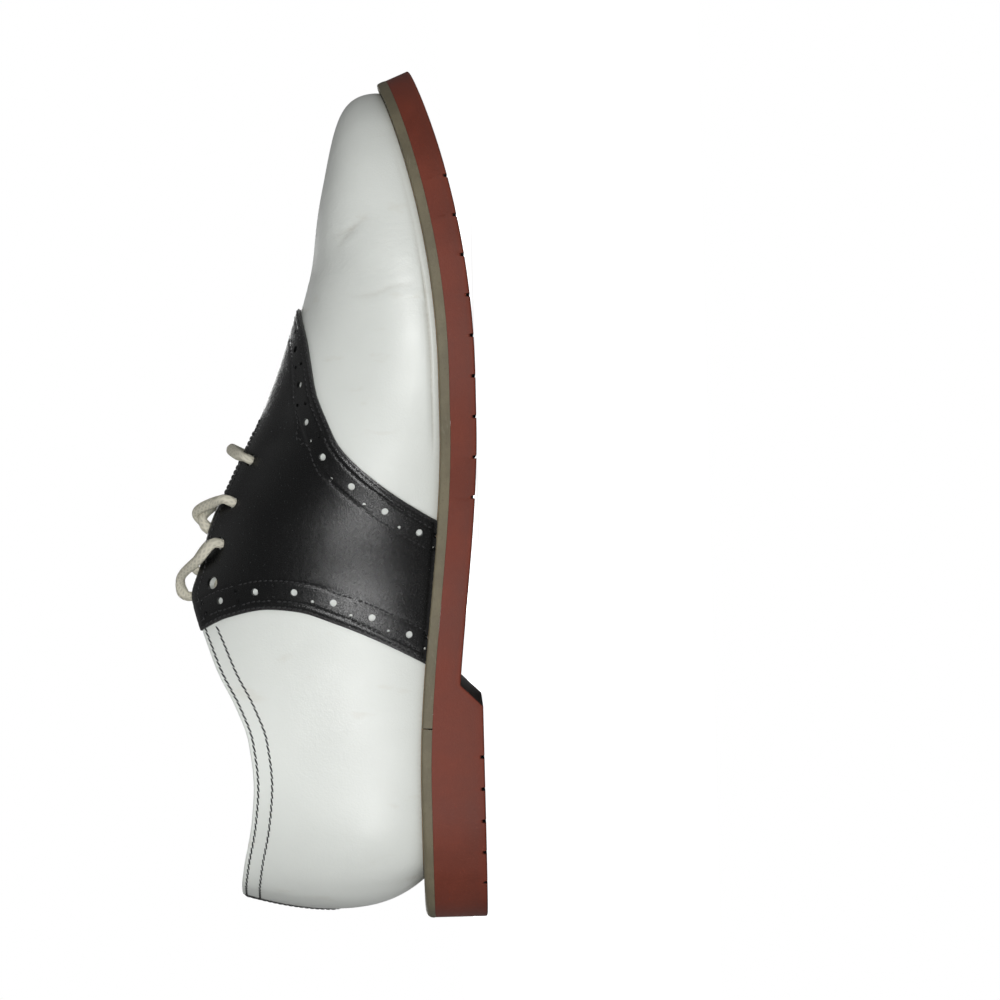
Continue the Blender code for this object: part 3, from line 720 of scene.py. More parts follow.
class Link:
    """A shader socket that Python's sums work on. Each sum adds one Math node."""

    def __init__(self, finish, socket):
        self.finish = finish
        self.socket = socket

    def sum(self, operation, *parts):
        made = self.finish.node("ShaderNodeMath", {"operation": operation}, dict(enumerate(parts)))
        return Link(self.finish, made.outputs[0])

    def __add__(self, other):
        return self.sum("ADD", self, other)

    __radd__ = __add__

    def __mul__(self, other):
        return self.sum("MULTIPLY", self, other)

    __rmul__ = __mul__

    def step(self, low, high):
        """0 below low, 1 above high, and a soft change between."""
        made = self.finish.node("ShaderNodeMapRange", {"interpolation_type": "SMOOTHSTEP"},
                                {"Value": self, "From Min": low, "From Max": high})
        return Link(self.finish, made.outputs["Result"])


class Finish:
    """Procedural shading of one material, or of the world, built node by node."""

    def __init__(self, name, world=None):
        self.material = world or bpy.data.materials.new(name)
        self.material.use_nodes = True
        self.tree = self.material.node_tree
        self.shader = self.tree.nodes["Background" if world else "Principled BSDF"]
        self.place = self.node("ShaderNodeTexCoord").outputs["Object"]

    def node(self, kind, settings=None, sockets=None):
        made = self.tree.nodes.new(kind)
        for name, value in (settings or {}).items():
            setattr(made, name, value)
        for name, value in (sockets or {}).items():
            self.feed(made.inputs[name], value)
        return made

    def feed(self, socket, value):
        if isinstance(value, Link):
            self.tree.links.new(value.socket, socket)
        elif isinstance(value, bpy.types.NodeSocket):
            self.tree.links.new(value, socket)
        elif isinstance(value, tuple) and len(value) == 3 and socket.type == "RGBA":
            socket.default_value = (*value, 1.0)
        else:
            socket.default_value = value

    def noise(self, scale, detail=3.0, roughness=0.5, place=None, distortion=0.0):
        made = self.node("ShaderNodeTexNoise", None,
                         {"Vector": place or self.place, "Scale": scale, "Detail": detail,
                          "Roughness": roughness, "Distortion": distortion})
        return Link(self, made.outputs[0])

    def cells(self, scale):
        made = self.node("ShaderNodeTexVoronoi", None, {"Vector": self.place, "Scale": scale})
        return Link(self, made.outputs["Distance"])

    def stretched(self, scale):
        """Object coordinates stretched by a scale for each axis."""
        made = self.node("ShaderNodeMapping", None, {"Vector": self.place, "Scale": scale})
        return made.outputs["Vector"]

    def value(self, name):
        """A number stored on the piece's vertices."""
        made = self.node("ShaderNodeAttribute", {"attribute_name": name})
        return Link(self, made.outputs["Fac"])

    def mix(self, amount, first, second):
        made = self.node("ShaderNodeMix", {"data_type": "RGBA"}, {0: amount, 6: first, 7: second})
        return made.outputs[2]

    def bump(self, height, distance, strength, under=None):
        sockets = {"Height": height, "Distance": distance, "Strength": strength}
        if under is not None:
            sockets["Normal"] = under
        return self.node("ShaderNodeBump", None, sockets).outputs["Normal"]

    def done(self, **sockets):
        for name, value in sockets.items():
            self.feed(self.shader.inputs[name.replace("_", " ").title().replace("Ior", "IOR")], value)
        return self.material


def tint(colour, factor):
    return tuple(min(part * factor, 1.0) for part in colour)


def white_leather(colours):
    finish = Finish("white_leather_skin")
    base = tuple(colours.white)
    cloud = finish.noise(22.0, 3.0)
    speck = finish.noise(900.0, 2.0)
    shade = finish.mix(cloud.step(0.35, 0.75), base, tint(base, 0.93))
    # Painted shade in the creases and the seam's groove, and soiling with painted shade along the welt; the
    # same colour serves the scuffs
    dirt_and_shade = finish.value("dirt_and_shade") * (0.55 + speck * 0.7)
    shade = finish.mix(dirt_and_shade, shade, tuple(colours.dirt_and_shade))
    scuff = finish.noise(60.0, 4.0, place=finish.stretched((1.0, 2.6, 1.0))).step(0.62, 0.74) * 0.16
    shade = finish.mix(scuff, shade, tint(tuple(colours.dirt_and_shade), 1.6))
    pores = finish.cells(1500.0)
    grain = finish.noise(650.0, 4.0, 0.6)
    fold = finish.noise(150.0, 3.0, 0.6, finish.stretched((1.0, 1.0, 0.35)), 0.6)
    folds = finish.value("flex") * fold
    normal = finish.bump(grain + pores * 0.5, 0.00009, 0.55)
    normal = finish.bump(folds, 0.0007, 0.5, normal)
    gloss = 0.40 + grain * 0.10 + dirt_and_shade * 0.2
    return finish.done(base_color=shade, roughness=gloss, normal=normal, coat_weight=0.12, coat_roughness=0.3)


def black_leather(colours):
    finish = Finish("black_leather_skin")
    base = tuple(colours.black)
    cloud = finish.noise(35.0, 3.0)
    grain = finish.noise(2100.0, 4.0, 0.65)
    pores = finish.cells(2600.0)
    dust = finish.noise(420.0, 5.0, 0.7).step(0.6, 0.8)
    shade = finish.mix(cloud.step(0.3, 0.8), base, tint(base, 1.5))
    shade = finish.mix(dust * 0.12, shade, (0.09, 0.09, 0.09))
    shade = finish.mix(finish.value("worn") * (0.3 + grain * 0.6), shade, (0.05, 0.05, 0.05))
    normal = finish.bump(grain * 0.8 + pores, 0.00007, 0.6)
    streak = finish.noise(420.0, 4.0, 0.65, finish.stretched((1.0, 0.35, 1.4)))
    gloss = 0.16 + grain * 0.12 + streak * 0.10
    return finish.done(base_color=shade, roughness=gloss, normal=normal, specular_ior_level=0.35)


def thread(name, colour):
    finish = Finish(name)
    twist = finish.noise(2600.0, 2.0)
    shade = finish.mix(twist, tint(colour, 0.6), tint(colour, 1.25))
    return finish.done(base_color=shade, roughness=0.6, normal=finish.bump(twist, 0.00012, 0.8))


def olive_rubber(colours):
    finish = Finish("olive_welt")
    base = tuple(colours.olive)
    cloud = finish.noise(70.0, 4.0, 0.6)
    speck = finish.noise(900.0, 3.0, 0.7)
    streak = finish.noise(160.0, 3.0, 0.6, finish.stretched((1.0, 1.0, 6.0)))
    shade = finish.mix(cloud.step(0.3, 0.7), tint(base, 0.82), tint(base, 1.12))
    shade = finish.mix(speck.step(0.55, 0.75) * 0.35, shade, tint(base, 0.45))
    shade = finish.mix(streak.step(0.62, 0.8) * 0.3, shade, (0.33, 0.31, 0.25))
    normal = finish.bump(speck + streak * 0.6, 0.00018, 0.6)
    return finish.done(base_color=shade, roughness=0.55 + cloud * 0.2, normal=normal, specular_ior_level=0.35)


def brick_rubber(colours):
    finish = Finish("brick_sole")
    base = tuple(colours.brick)
    cloud = finish.noise(40.0, 4.0, 0.6)
    speck = finish.noise(1200.0, 3.0, 0.7)
    scrape = finish.noise(120.0, 5.0, 0.7, finish.stretched((1.0, 0.5, 2.5)))
    shade = finish.mix(cloud.step(0.3, 0.7), tint(base, 0.86), tint(base, 1.1))
    shade = finish.mix(scrape.step(0.66, 0.8) * 0.4, shade, tint(base, 1.7))
    # Soiling and painted shade on the underside, fading up the bevel and the foot of the side
    underside_dirt_and_shade = finish.value("dirt_and_shade") * (0.5 + cloud)
    shade = finish.mix(underside_dirt_and_shade, shade, tuple(colours.tread_dirt_and_shade))
    normal = finish.bump(speck + scrape, 0.00016, 0.6)
    return finish.done(base_color=shade, roughness=0.52 + cloud * 0.2, normal=normal, specular_ior_level=0.28)


def tan_leather(name, colour):
    finish = Finish(name)
    cloud = finish.noise(45.0, 4.0, 0.6)
    grain = finish.noise(1300.0, 3.0, 0.6)
    shade = finish.mix(cloud.step(0.3, 0.75), tint(colour, 1.08), tint(colour, 0.78))
    shade = finish.mix(grain.step(0.55, 0.8) * 0.3, shade, tint(colour, 0.6))
    normal = finish.bump(grain + cloud * 0.6, 0.00015, 0.6)
    rough = 0.55 + cloud * 0.15
    return finish.done(base_color=shade, roughness=rough, normal=normal, specular_ior_level=0.35)


def cotton(colours):
    finish = Finish("lace_cotton_weave")
    base = tuple(colours.lace)
    fuzz = finish.noise(3200.0, 3.0, 0.7)
    soil = finish.noise(90.0, 3.0)
    shade = finish.mix(soil.step(0.35, 0.7), base, tint(base, 0.84))
    # Painted shade in the weave's hollows: darker where the woven relief is low
    shade = finish.mix(finish.value("weave"), tint(base, 0.62), shade)
    normal = finish.bump(fuzz, 0.00016, 0.8)
    return finish.done(base_color=shade, roughness=0.9, normal=normal, specular_ior_level=0.2)


def floor_surface(colour, glow):
    finish = Finish("studio_floor")
    cloud = finish.noise(3.0, 2.0)
    shade = finish.mix(cloud * 0.3, colour, tint(colour, 0.98))
    seen = finish.node("ShaderNodeLightPath").outputs["Is Camera Ray"]
    lit = finish.mix(seen, (0.0, 0.0, 0.0), (1.0, 1.0, 1.0))
    return finish.done(base_color=shade, roughness=0.9, emission_color=lit, emission_strength=glow)


def colour_choice(name, description, *colour):
    return FloatVectorProperty(name=name, description=description, subtype="COLOR",
                               size=3, min=0.0, max=1.0, default=colour)


def length_choice(name, description, length):
    return FloatProperty(name=name, description=description, unit="LENGTH", precision=4, default=length)


class ShoeColours(PropertyGroup):
    white: colour_choice("White leather", "Vamp and quarters", 0.70, 0.725, 0.69)
    black: colour_choice("Black leather", "Saddle and back strip", 0.0024, 0.0026, 0.0027)
    # Colour of the scuffs, and of the painted shade in creases, the seam's groove and along the welt, where
    # there is soiling too
    dirt_and_shade: colour_choice("Grime", "Dirt in folds and along the welt", 0.30, 0.27, 0.21)
    olive: colour_choice("Olive", "Welt and the strip round the heel", 0.158, 0.138, 0.090)
    brick: colour_choice("Brick", "Outsole and heel", 0.158, 0.034, 0.019)
    # Soiling and painted shade on the underside
    tread_dirt_and_shade: colour_choice("Tread dirt", "Dirt on the underside", 0.045, 0.030, 0.026)
    insole: colour_choice("Insole", "Footbed leather", 0.42, 0.29, 0.17)
    lining: colour_choice("Lining", "Inside of the upper", 0.56, 0.47, 0.34)
    lace: colour_choice("Lace", "Cotton lace", 0.68, 0.652, 0.54)
    black_thread: colour_choice("Black thread", "Stitches but the welt's", 0.014, 0.014, 0.015)
    welt_thread: colour_choice("Welt thread", "Stitches on the welt", 0.30, 0.27, 0.19)
    floor: colour_choice("Floor", "Studio floor", 0.92, 0.92, 0.92)


class ShoeSizes(PropertyGroup):
    stitch_length: length_choice("Stitch", "From one stitch to the next on the saddle", 1.9 * MM)
    collar_stitch_length: length_choice("Collar stitch", "From one to the next on the collar", 2.3 * MM)
    thread_width: length_choice("Thread", "Width of the sewing thread", 0.66 * MM)
    hole_width: length_choice("Large hole", "Width of the large punched holes", 2.5 * MM)
    small_hole_width: length_choice("Small hole", "Width of the small punched holes", 1.25 * MM)
    lace_width: length_choice("Lace width", "Width of the lace where it lies free", 4.0 * MM)
    lace_thickness: length_choice("Lace thickness", "Thickness of the lace where it lies free", 3.1 * MM)
    camera_distance: length_choice("Camera distance", "From the lens to the shoe's middle", 1.0)
    camera_height: length_choice("Camera height", "Lens above the floor", 9 * MM)
    frame_height: length_choice("Frame", "What the picture takes in at the shoe", 356.7 * MM)


class SHOE_OT_upper(Operator):
    """Builds the white upper: vamp and quarters in one wall, creased at the vamp, with its lining"""
    bl_idname = "shoe.make_upper"
    bl_label = "Upper"

    COLUMNS = 168
    FOOT_ROWS = 8
    ROWS = 64
    FOOT_CLIMB = 0.035

    def climb(self, row):
        if row <= self.FOOT_ROWS:
            return self.FOOT_CLIMB * row / self.FOOT_ROWS
        rest = (row - self.FOOT_ROWS) / (self.ROWS - self.FOOT_ROWS)
        return self.FOOT_CLIMB + (1 - self.FOOT_CLIMB) * rest * (1 + 0.25 * (1 - rest))

    def divide_creases(self, built):
        """Makes the faces finer round the narrow creases."""
        for side, corners, width, _, _ in CREASES:
            if width > HOLLOW_WIDTH:
                continue
            near = []
            for face in built.faces:
                middle = face.calc_center_median()
                if (middle.x - HEEL_LINE_X) * side > 0 and off_line(corners, middle)[0] < 5.0:
                    near.append(face)
            edges = {edge for face in near for edge in face.edges}
            bmesh.ops.subdivide_edges(built, edges=list(edges), cuts=2, use_grid_fill=True)

    def work_leather(self, built, rise, along):
        """Presses the creases and the seam above the welt into the sheet, and marks painted shade in the
        creases and the seam's groove, soiling and painted shade along the welt, and the folds.
        """
        built.normal_update()
        dirt_and_shade = built.verts.layers.float.new("dirt_and_shade")
        flex = built.verts.layers.float.new("flex")
        normals = {vertex: vertex.normal.copy() for vertex in built.verts}
        for vertex, normal in normals.items():
            lift, crease_shade = crease_depth(vertex.co)
            lift += waves(vertex.co)
            up = vertex[rise]
            seam = math.exp(-((up - FEATHER_SEAM) / (0.45 * MM)) ** 2)
            seam *= SEAM_STRENGTH(vertex[along])
            lift -= seam * 0.35 * MM
            lift *= min(up / (1.5 * MM), 1.0)
            # Painted shade in the creases and the seam's groove, and a band of soiling and painted shade
            # where the upper meets the welt
            vertex[dirt_and_shade] = min(0.85 * crease_shade + 0.5 * seam + 0.55 * math.exp(-up / (1.1 * MM)), 1.0)
            vertex[flex] = math.exp(-((vertex.co.y + 82 * MM) / (20 * MM)) ** 2)
            vertex.co += normal * lift

    def execute(self, context):
        colours = context.scene.shoe_colours
        built = bmesh.new()
        rise = built.verts.layers.float.new("rise")
        along = built.verts.layers.float.new("along")
        for side in (MEDIAL, LATERAL):
            def place(column, row):
                share = share_of_turn(column / self.COLUMNS)
                spot = upper_point(side, share, self.climb(row))
                return spot, ((spot - upper_point(side, share, 0.0)).length, share)
            lay_grid(built, self.COLUMNS, self.ROWS, place, side == MEDIAL, (rise, along))
        weld(built)
        self.divide_creases(built)
        self.work_leather(built, rise, along)
        edges = give_wall(built, lambda vertex: vertex.normal * -UPPER_WALL, inner_slot=1)
        high = [face for face in edges if face.calc_center_median().z > 45 * MM]
        soften_rims(built, high, 0.55 * MM, 3)
        upper = new_piece("upper_leather", built,
                          [white_leather(colours), tan_leather("lining_leather", tuple(colours.lining))], 50)
        punch(upper, eyelet_holes(20), 50)
        belongs(upper, "white_leather", "upper")
        return {"FINISHED"}


def eyelet(side, row):
    """Middle of an eyelet on the upper's outer face, and the way out of it."""
    share = eyelet_share(row)
    climb = climb_below_top(side, share, EYELET_SETBACK)
    return upper_point(side, share, climb), upper_normal(side, share, climb)


def eyelet_share(row):
    return FIRST_EYELET_ROW + (LAST_EYELET_ROW - FIRST_EYELET_ROW) * row / (EYELET_ROWS - 1)


def eyelet_holes(sides):
    """All eyelets, as punch() takes them."""
    return [(*eyelet(side, row), EYELET_DIAMETER / 2, EYELET_PUNCH, sides)
            for side in (MEDIAL, LATERAL) for row in range(EYELET_ROWS)]


def nearest_on_line(line, spot):
    """The point nearest to a spot, of a line's corners and the eighths of the way on both sides of one."""
    near = min(line, key=lambda point: (point - spot).length)
    at = line.index(near)
    between = [near.lerp(other, k / 8) for other in line[max(at - 1, 0):at + 2] for k in range(8)]
    return min([near] + between, key=lambda point: (point - spot).length)


def hole_places(sizes):
    """Large holes and pairs of small ones along both bands: place, radius, sides, and if it goes through."""
    places = []
    for side in (MEDIAL, LATERAL):
        for edge in (0, 1):
            middle = saddle_line(side, edge, HOLE_ROW)
            inner = saddle_line(side, edge, HOLE_ROW + HOLE_PAIR_SPREAD)
            outer = saddle_line(side, edge, HOLE_ROW - HOLE_PAIR_SPREAD)
            for spot, _ in walk(middle, HOLE_PITCH, FIRST_HOLE):
                places.append((spot, sizes.hole_width / 2, 16, True))
            for spot, _ in walk(middle, HOLE_PITCH, FIRST_HOLE - HOLE_PITCH / 2):
                for line in (inner, outer):
                    through = (line is inner) == (edge == 0) and spot.z < BLIND_ABOVE
                    places.append((nearest_on_line(line, spot), sizes.small_hole_width / 2, 10, through))
    kept = []
    for place in places:
        if all((place[0] - other[0]).length > HOLE_CLEARANCE for other in kept):
            kept.append(place)
    return kept


def search_tree(points):
    tree = KDTree(len(points))
    for k, point in enumerate(points):
        tree.insert(point, k)
    tree.balance()
    return tree


def rim_tree(built):
    """A search tree over a sheet's open edges."""
    return search_tree([edge.verts[0].co.lerp(edge.verts[1].co, k / 4)
                        for edge in built.edges if edge.is_boundary for k in range(4)])


class SHOE_OT_saddle(Operator):
    """Builds the black saddle with its stitched bands, punched holes and eyelets"""
    bl_idname = "shoe.make_saddle"
    bl_label = "Saddle"

    BAND = 0.2
    BAND_COLUMNS = 34
    MIDDLE_COLUMNS = 26
    ROWS = 96

    def across(self, column):
        last = 2 * self.BAND_COLUMNS + self.MIDDLE_COLUMNS
        if column <= self.BAND_COLUMNS:
            return self.BAND * column / self.BAND_COLUMNS
        if column >= last - self.BAND_COLUMNS:
            return 1 - self.BAND * (last - column) / self.BAND_COLUMNS
        return self.BAND + (1 - 2 * self.BAND) * (column - self.BAND_COLUMNS) / self.MIDDLE_COLUMNS

    def execute(self, context):
        colours, sizes = context.scene.shoe_colours, context.scene.shoe_sizes
        columns = 2 * self.BAND_COLUMNS + self.MIDDLE_COLUMNS
        built = bmesh.new()
        for side in (MEDIAL, LATERAL):
            def place(column, row):
                return SADDLE.point(side, self.across(column), row / self.ROWS)
            lay_grid(built, columns, self.ROWS, place, side == MEDIAL)
        weld(built)
        built.normal_update()
        worn = built.verts.layers.float.new("worn")
        bands = search_tree([point for side in (MEDIAL, LATERAL) for edge in (0, 1)
                             for point, _ in walk(saddle_line(side, edge, 0.0, 200), 0.3 * MM)])
        rim = rim_tree(built)
        starts = {vertex: (vertex.co.copy(), vertex.normal.copy()) for vertex in built.verts}
        for vertex, (start, normal) in starts.items():
            from_edge = bands.find(start)[2]
            from_rim = rim.find(start)[2]
            groove = sum(math.exp(-((from_edge - row) / (0.5 * MM)) ** 2) * deep
                         for row, deep in ((EDGE_ROW, 0.10), (SECOND_ROW, 0.16), (BAND_ROW, 0.20)))
            closeness = max(1 - from_rim / (2.2 * MM), 0.0) ** 2
            lift = OVERLAY_TOP + waves(start) - groove * MM - 0.32 * MM * closeness
            vertex[worn] = closeness
            vertex.co = start + normal * lift
        wall = OVERLAY_THICKNESS
        edges = give_wall(built, lambda vertex: vertex.normal * -(wall - 0.15 * MM * vertex[worn]))
        soften_rims(built, edges, 0.22 * MM, 2)
        saddle = new_piece("saddle_leather", built, [black_leather(colours)], 42)
        tree = skin_tree(saddle, faces_out)
        holes = []
        for spot, radius, sides, through in hole_places(sizes):
            middle, out, _, _ = tree.find_nearest(spot)
            holes.append((middle, out, radius, THROUGH_HOLE if through else BLIND_HOLE, sides))
        punch(saddle, holes + eyelet_holes(24), 42)
        belongs(saddle, "black_leather", "saddle")
        return {"FINISHED"}


def backstay_point(side, reach, climb):
    """Point of the upper's outer face by the back seam, out from it by a reach."""
    low, high = 0.9, 1.0
    for _ in range(20):
        share = (low + high) / 2
        if abs(upper_point(side, share, climb).x - HEEL_LINE_X) > reach:
            low = share
        else:
            high = share
    return upper_point(side, 1.0 if reach == 0 else share, climb)


def backstay_climb(up):
    return BACKSTAY_FOOT + (BACKSTAY_TOP - BACKSTAY_FOOT) * up


def backstay_reach(up):
    return BACKSTAY_HALF_WIDTH * (BACKSTAY_TAPER + (1 - BACKSTAY_TAPER) * up)


class SHOE_OT_backstay(Operator):
    """Builds the black strip on the back seam"""
    bl_idname = "shoe.make_backstay"
    bl_label = "Back strip"

    def execute(self, context):
        across, rows = 10, 48
        built = bmesh.new()
        for side in (MEDIAL, LATERAL):
            def place(column, row):
                up = row / rows
                return backstay_point(side, backstay_reach(up) * (1 - column / across), backstay_climb(up))
            lay_grid(built, across, rows, place, side == MEDIAL)
        weld(built)
        built.normal_update()
        worn = built.verts.layers.float.new("worn")
        rim = rim_tree(built)
        starts = {vertex: (vertex.co.copy(), vertex.normal.copy()) for vertex in built.verts}
        for vertex, (start, normal) in starts.items():
            closeness = max(1 - rim.find(start)[2] / (1.6 * MM), 0.0) ** 2
            vertex[worn] = closeness * 0.6
            vertex.co = start + normal * (BACKSTAY_RISE + waves(start) - 0.25 * MM * closeness)
        edges = give_wall(built, lambda vertex: vertex.normal * -BACKSTAY_THICKNESS)
        soften_rims(built, edges, 0.12 * MM, 2)
        strip = new_piece("backstay_leather", built, [bpy.data.materials["black_leather_skin"]], 42)
        belongs(strip, "black_leather", "backstay")
        return {"FINISHED"}


def throat_middle(share, lift):
    """Point over the middle of the throat, square to its slope."""
    square = Vector((0.0, -top_slope(share), 1.0)).normalized()
    return (rib_top(MEDIAL, share) + rib_top(LATERAL, share)) / 2 + square * lift


def tongue_depth(share):
    laced = (share - THROAT_FRONT) / (FIRST_EYELET_ROW - THROAT_FRONT)
    return UPPER_WALL + TONGUE_CLEARANCE + LACE_ROOM * min(max(laced, 0.0), 1.0)


def smooth_path(points, at):
    """Point on the smooth curve through points, at a number of points passed."""
    i = min(int(at), len(points) - 2)
    t = at - i
    a, b = points[i], points[i + 1]
    before = points[i - 1] if i > 0 else a * 2 - b
    after = points[i + 2] if i + 2 < len(points) else b * 2 - a
    return 0.5 * (2 * a + (b - before) * t + (2 * before - 5 * a + 4 * b - after) * t * t
                  + (3 * a - before - 3 * b + after) * t ** 3)


class SHOE_OT_tongue(Operator):
    """Builds the tongue under the facings"""
    bl_idname = "shoe.make_tongue"
    bl_label = "Tongue"

    CLIMBS = [0.62, 0.70, 0.78, 0.86, 0.93]

    def section(self, share):
        depth = tongue_depth(share)
        halves = []
        for side in (MEDIAL, LATERAL):
            halves.append([upper_point(side, share, climb) - upper_normal(side, share, climb) * depth
                           for climb in self.CLIMBS])
        return halves[0] + [throat_middle(share, -depth)] + list(reversed(halves[1]))

    def execute(self, context):
        columns, rows = 72, 44
        sections = [self.section(share) for share in even(TONGUE_FRONT, TONGUE_BACK, columns + 1)]

        def place(column, row):
            section = sections[column]
            return smooth_path(section, (len(section) - 1) * row / rows)

        built = bmesh.new()
        lay_grid(built, columns, rows, place)
        bmesh.ops.reverse_faces(built, faces=built.faces)
        built.normal_update()
        middle = min(built.verts, key=lambda vertex: (vertex.co - sections[columns // 2][5]).length)
        if middle.normal.z < 0:
            bmesh.ops.reverse_faces(built, faces=built.faces)
            built.normal_update()
        dirt_and_shade = built.verts.layers.float.new("dirt_and_shade")
        built.verts.layers.float.new("flex")
        # The tongue gets a faint even touch of the same darkening all over
        for vertex in built.verts:
            vertex[dirt_and_shade] = 0.06
        edges = give_wall(built, lambda vertex: vertex.normal * -TONGUE_THICKNESS, inner_slot=1)
        soften_rims(built, edges, 0.8 * MM, 3)
        tongue = new_piece("tongue_leather", built, [bpy.data.materials["white_leather_skin"],
                                                     bpy.data.materials["lining_leather"]], 50)
        belongs(tongue, "white_leather", "tongue")
        return {"FINISHED"}


def welt_stations(first, last, steps):
    """Places round the sole's edge: from a share on the medial side, by an end, to the lateral side."""
    start, end = turn(first), turn(last)
    shares = [share_of_turn(start + (end - start) * k / steps) for k in range(steps + 1)]
    return [(MEDIAL, share) for share in shares] + [(LATERAL, share) for share in reversed(shares[:-1])]


def make_strip(name, stations, bevel, surface, channel):
    """Strip on the outsole's rim with a rounded upper edge, and a line for stitches, sunk by the channel."""
    profile = [("side", k / 4) for k in range(5)] + [("round", k / 5) for k in range(1, 6)]
    profile += [("top", k / 14) for k in range(1, 15)] + [("under", 0.0)]

    def corner(side, share, kind, part):
        reach = ledge(side, share)
        top_in = min(bevel(share), reach * 0.6)
        drop = min(top_in, WELT_THICKNESS * 0.6)
        inside = reach + UPPER_WALL
        low = OUTSOLE_THICKNESS + GAP * 0.2
        if kind == "side":
            bulge = -0.12 * MM * math.sin(math.pi * part)
            return sole_point(side, share, low + (WELT_THICKNESS - drop - GAP * 0.2) * part, bulge)
        if kind == "round":
            angle = part * math.pi / 2
            return sole_point(side, share, WELT_TOP - drop + drop * math.sin(angle),
                              top_in * (1 - math.cos(angle)))
        if kind == "top":
            inset = top_in + (inside - top_in) * part
            sunk = channel * math.exp(-((inset - top_in - (reach - top_in) * 0.5) / (0.42 * MM)) ** 2)
            return sole_point(side, share, WELT_TOP - sunk, inset)
        return sole_point(side, share, low, inside)

    built = bmesh.new()
    rows = len(profile)

    def place(column, row):
        side, share = stations[column]
        kind, part = profile[row % rows]
        return corner(side, share, kind, part)

    lay_grid(built, len(stations) - 1, rows, place)
    weld(built)
    bmesh.ops.holes_fill(built, edges=[edge for edge in built.edges if edge.is_boundary])
    bmesh.ops.recalc_face_normals(built, faces=built.faces)
    return new_piece(name, built, [surface], 38)


class SHOE_OT_welt(Operator):
    """Builds the olive welt round the shoe and the strip of the same olive round its heel"""
    bl_idname = "shoe.make_welt"
    bl_label = "Welt"

    def execute(self, context):
        surface = olive_rubber(context.scene.shoe_colours)
        welt = make_strip("welt_strip", welt_stations(WELT_JOINT - 0.0004, 0.0, 150),
                          lambda share: WELT_BEVEL, surface, WELT_CHANNEL)
        belongs(welt, "welt_olive", "welt")
        joint = WELT_JOINT + GAP / SOLE_LENGTH

        def bevel(share):
            reach = max(share - joint, 0.0) / (1 - joint)
            return WELT_BEVEL + (RAND_BEVEL - WELT_BEVEL) * reach ** 2

        rand = make_strip("heel_strip", welt_stations(joint, 1.0, 70), bevel, surface, 0.0)
        belongs(rand, "welt_olive", "heel_rand")
        return {"FINISHED"}


def groove_depth(share):
    """How far a groove across the tread rises here."""
    off = min(abs(share - middle) for middle in GROOVES) * SOLE_LENGTH
    return GROOVE_DEPTH * min(max((GROOVE_WIDTH / 2 - off) / GROOVE_SLOPE, 0.0), 1.0)


def tread_height(share):
    if share <= HEEL_BREAST:
        return underside(share)
    s = min((share - HEEL_BREAST) / (BREAST_SLANT / SOLE_LENGTH), 1.0)
    return underside(HEEL_BREAST) * (1 - s)


def sole_stations(steps):
    """Shares of the length at which the sole is cut, with four more for each groove."""
    stations = {share_of_turn(i / steps) for i in range(steps + 1)}
    half = GROOVE_WIDTH / 2 / SOLE_LENGTH
    soft = GROOVE_SLOPE / SOLE_LENGTH
    for middle in GROOVES:
        stations = {s for s in stations if abs(s - middle) > 1.5 * half}
        stations |= {middle - half, middle + soft - half, middle + half - soft, middle + half}
    foot = HEEL_BREAST + BREAST_SLANT / SOLE_LENGTH
    stations = {s for s in stations if abs(s - HEEL_BREAST) > 0.002 and abs(s - foot) > 0.002}
    return sorted(stations | {HEEL_BREAST, foot})


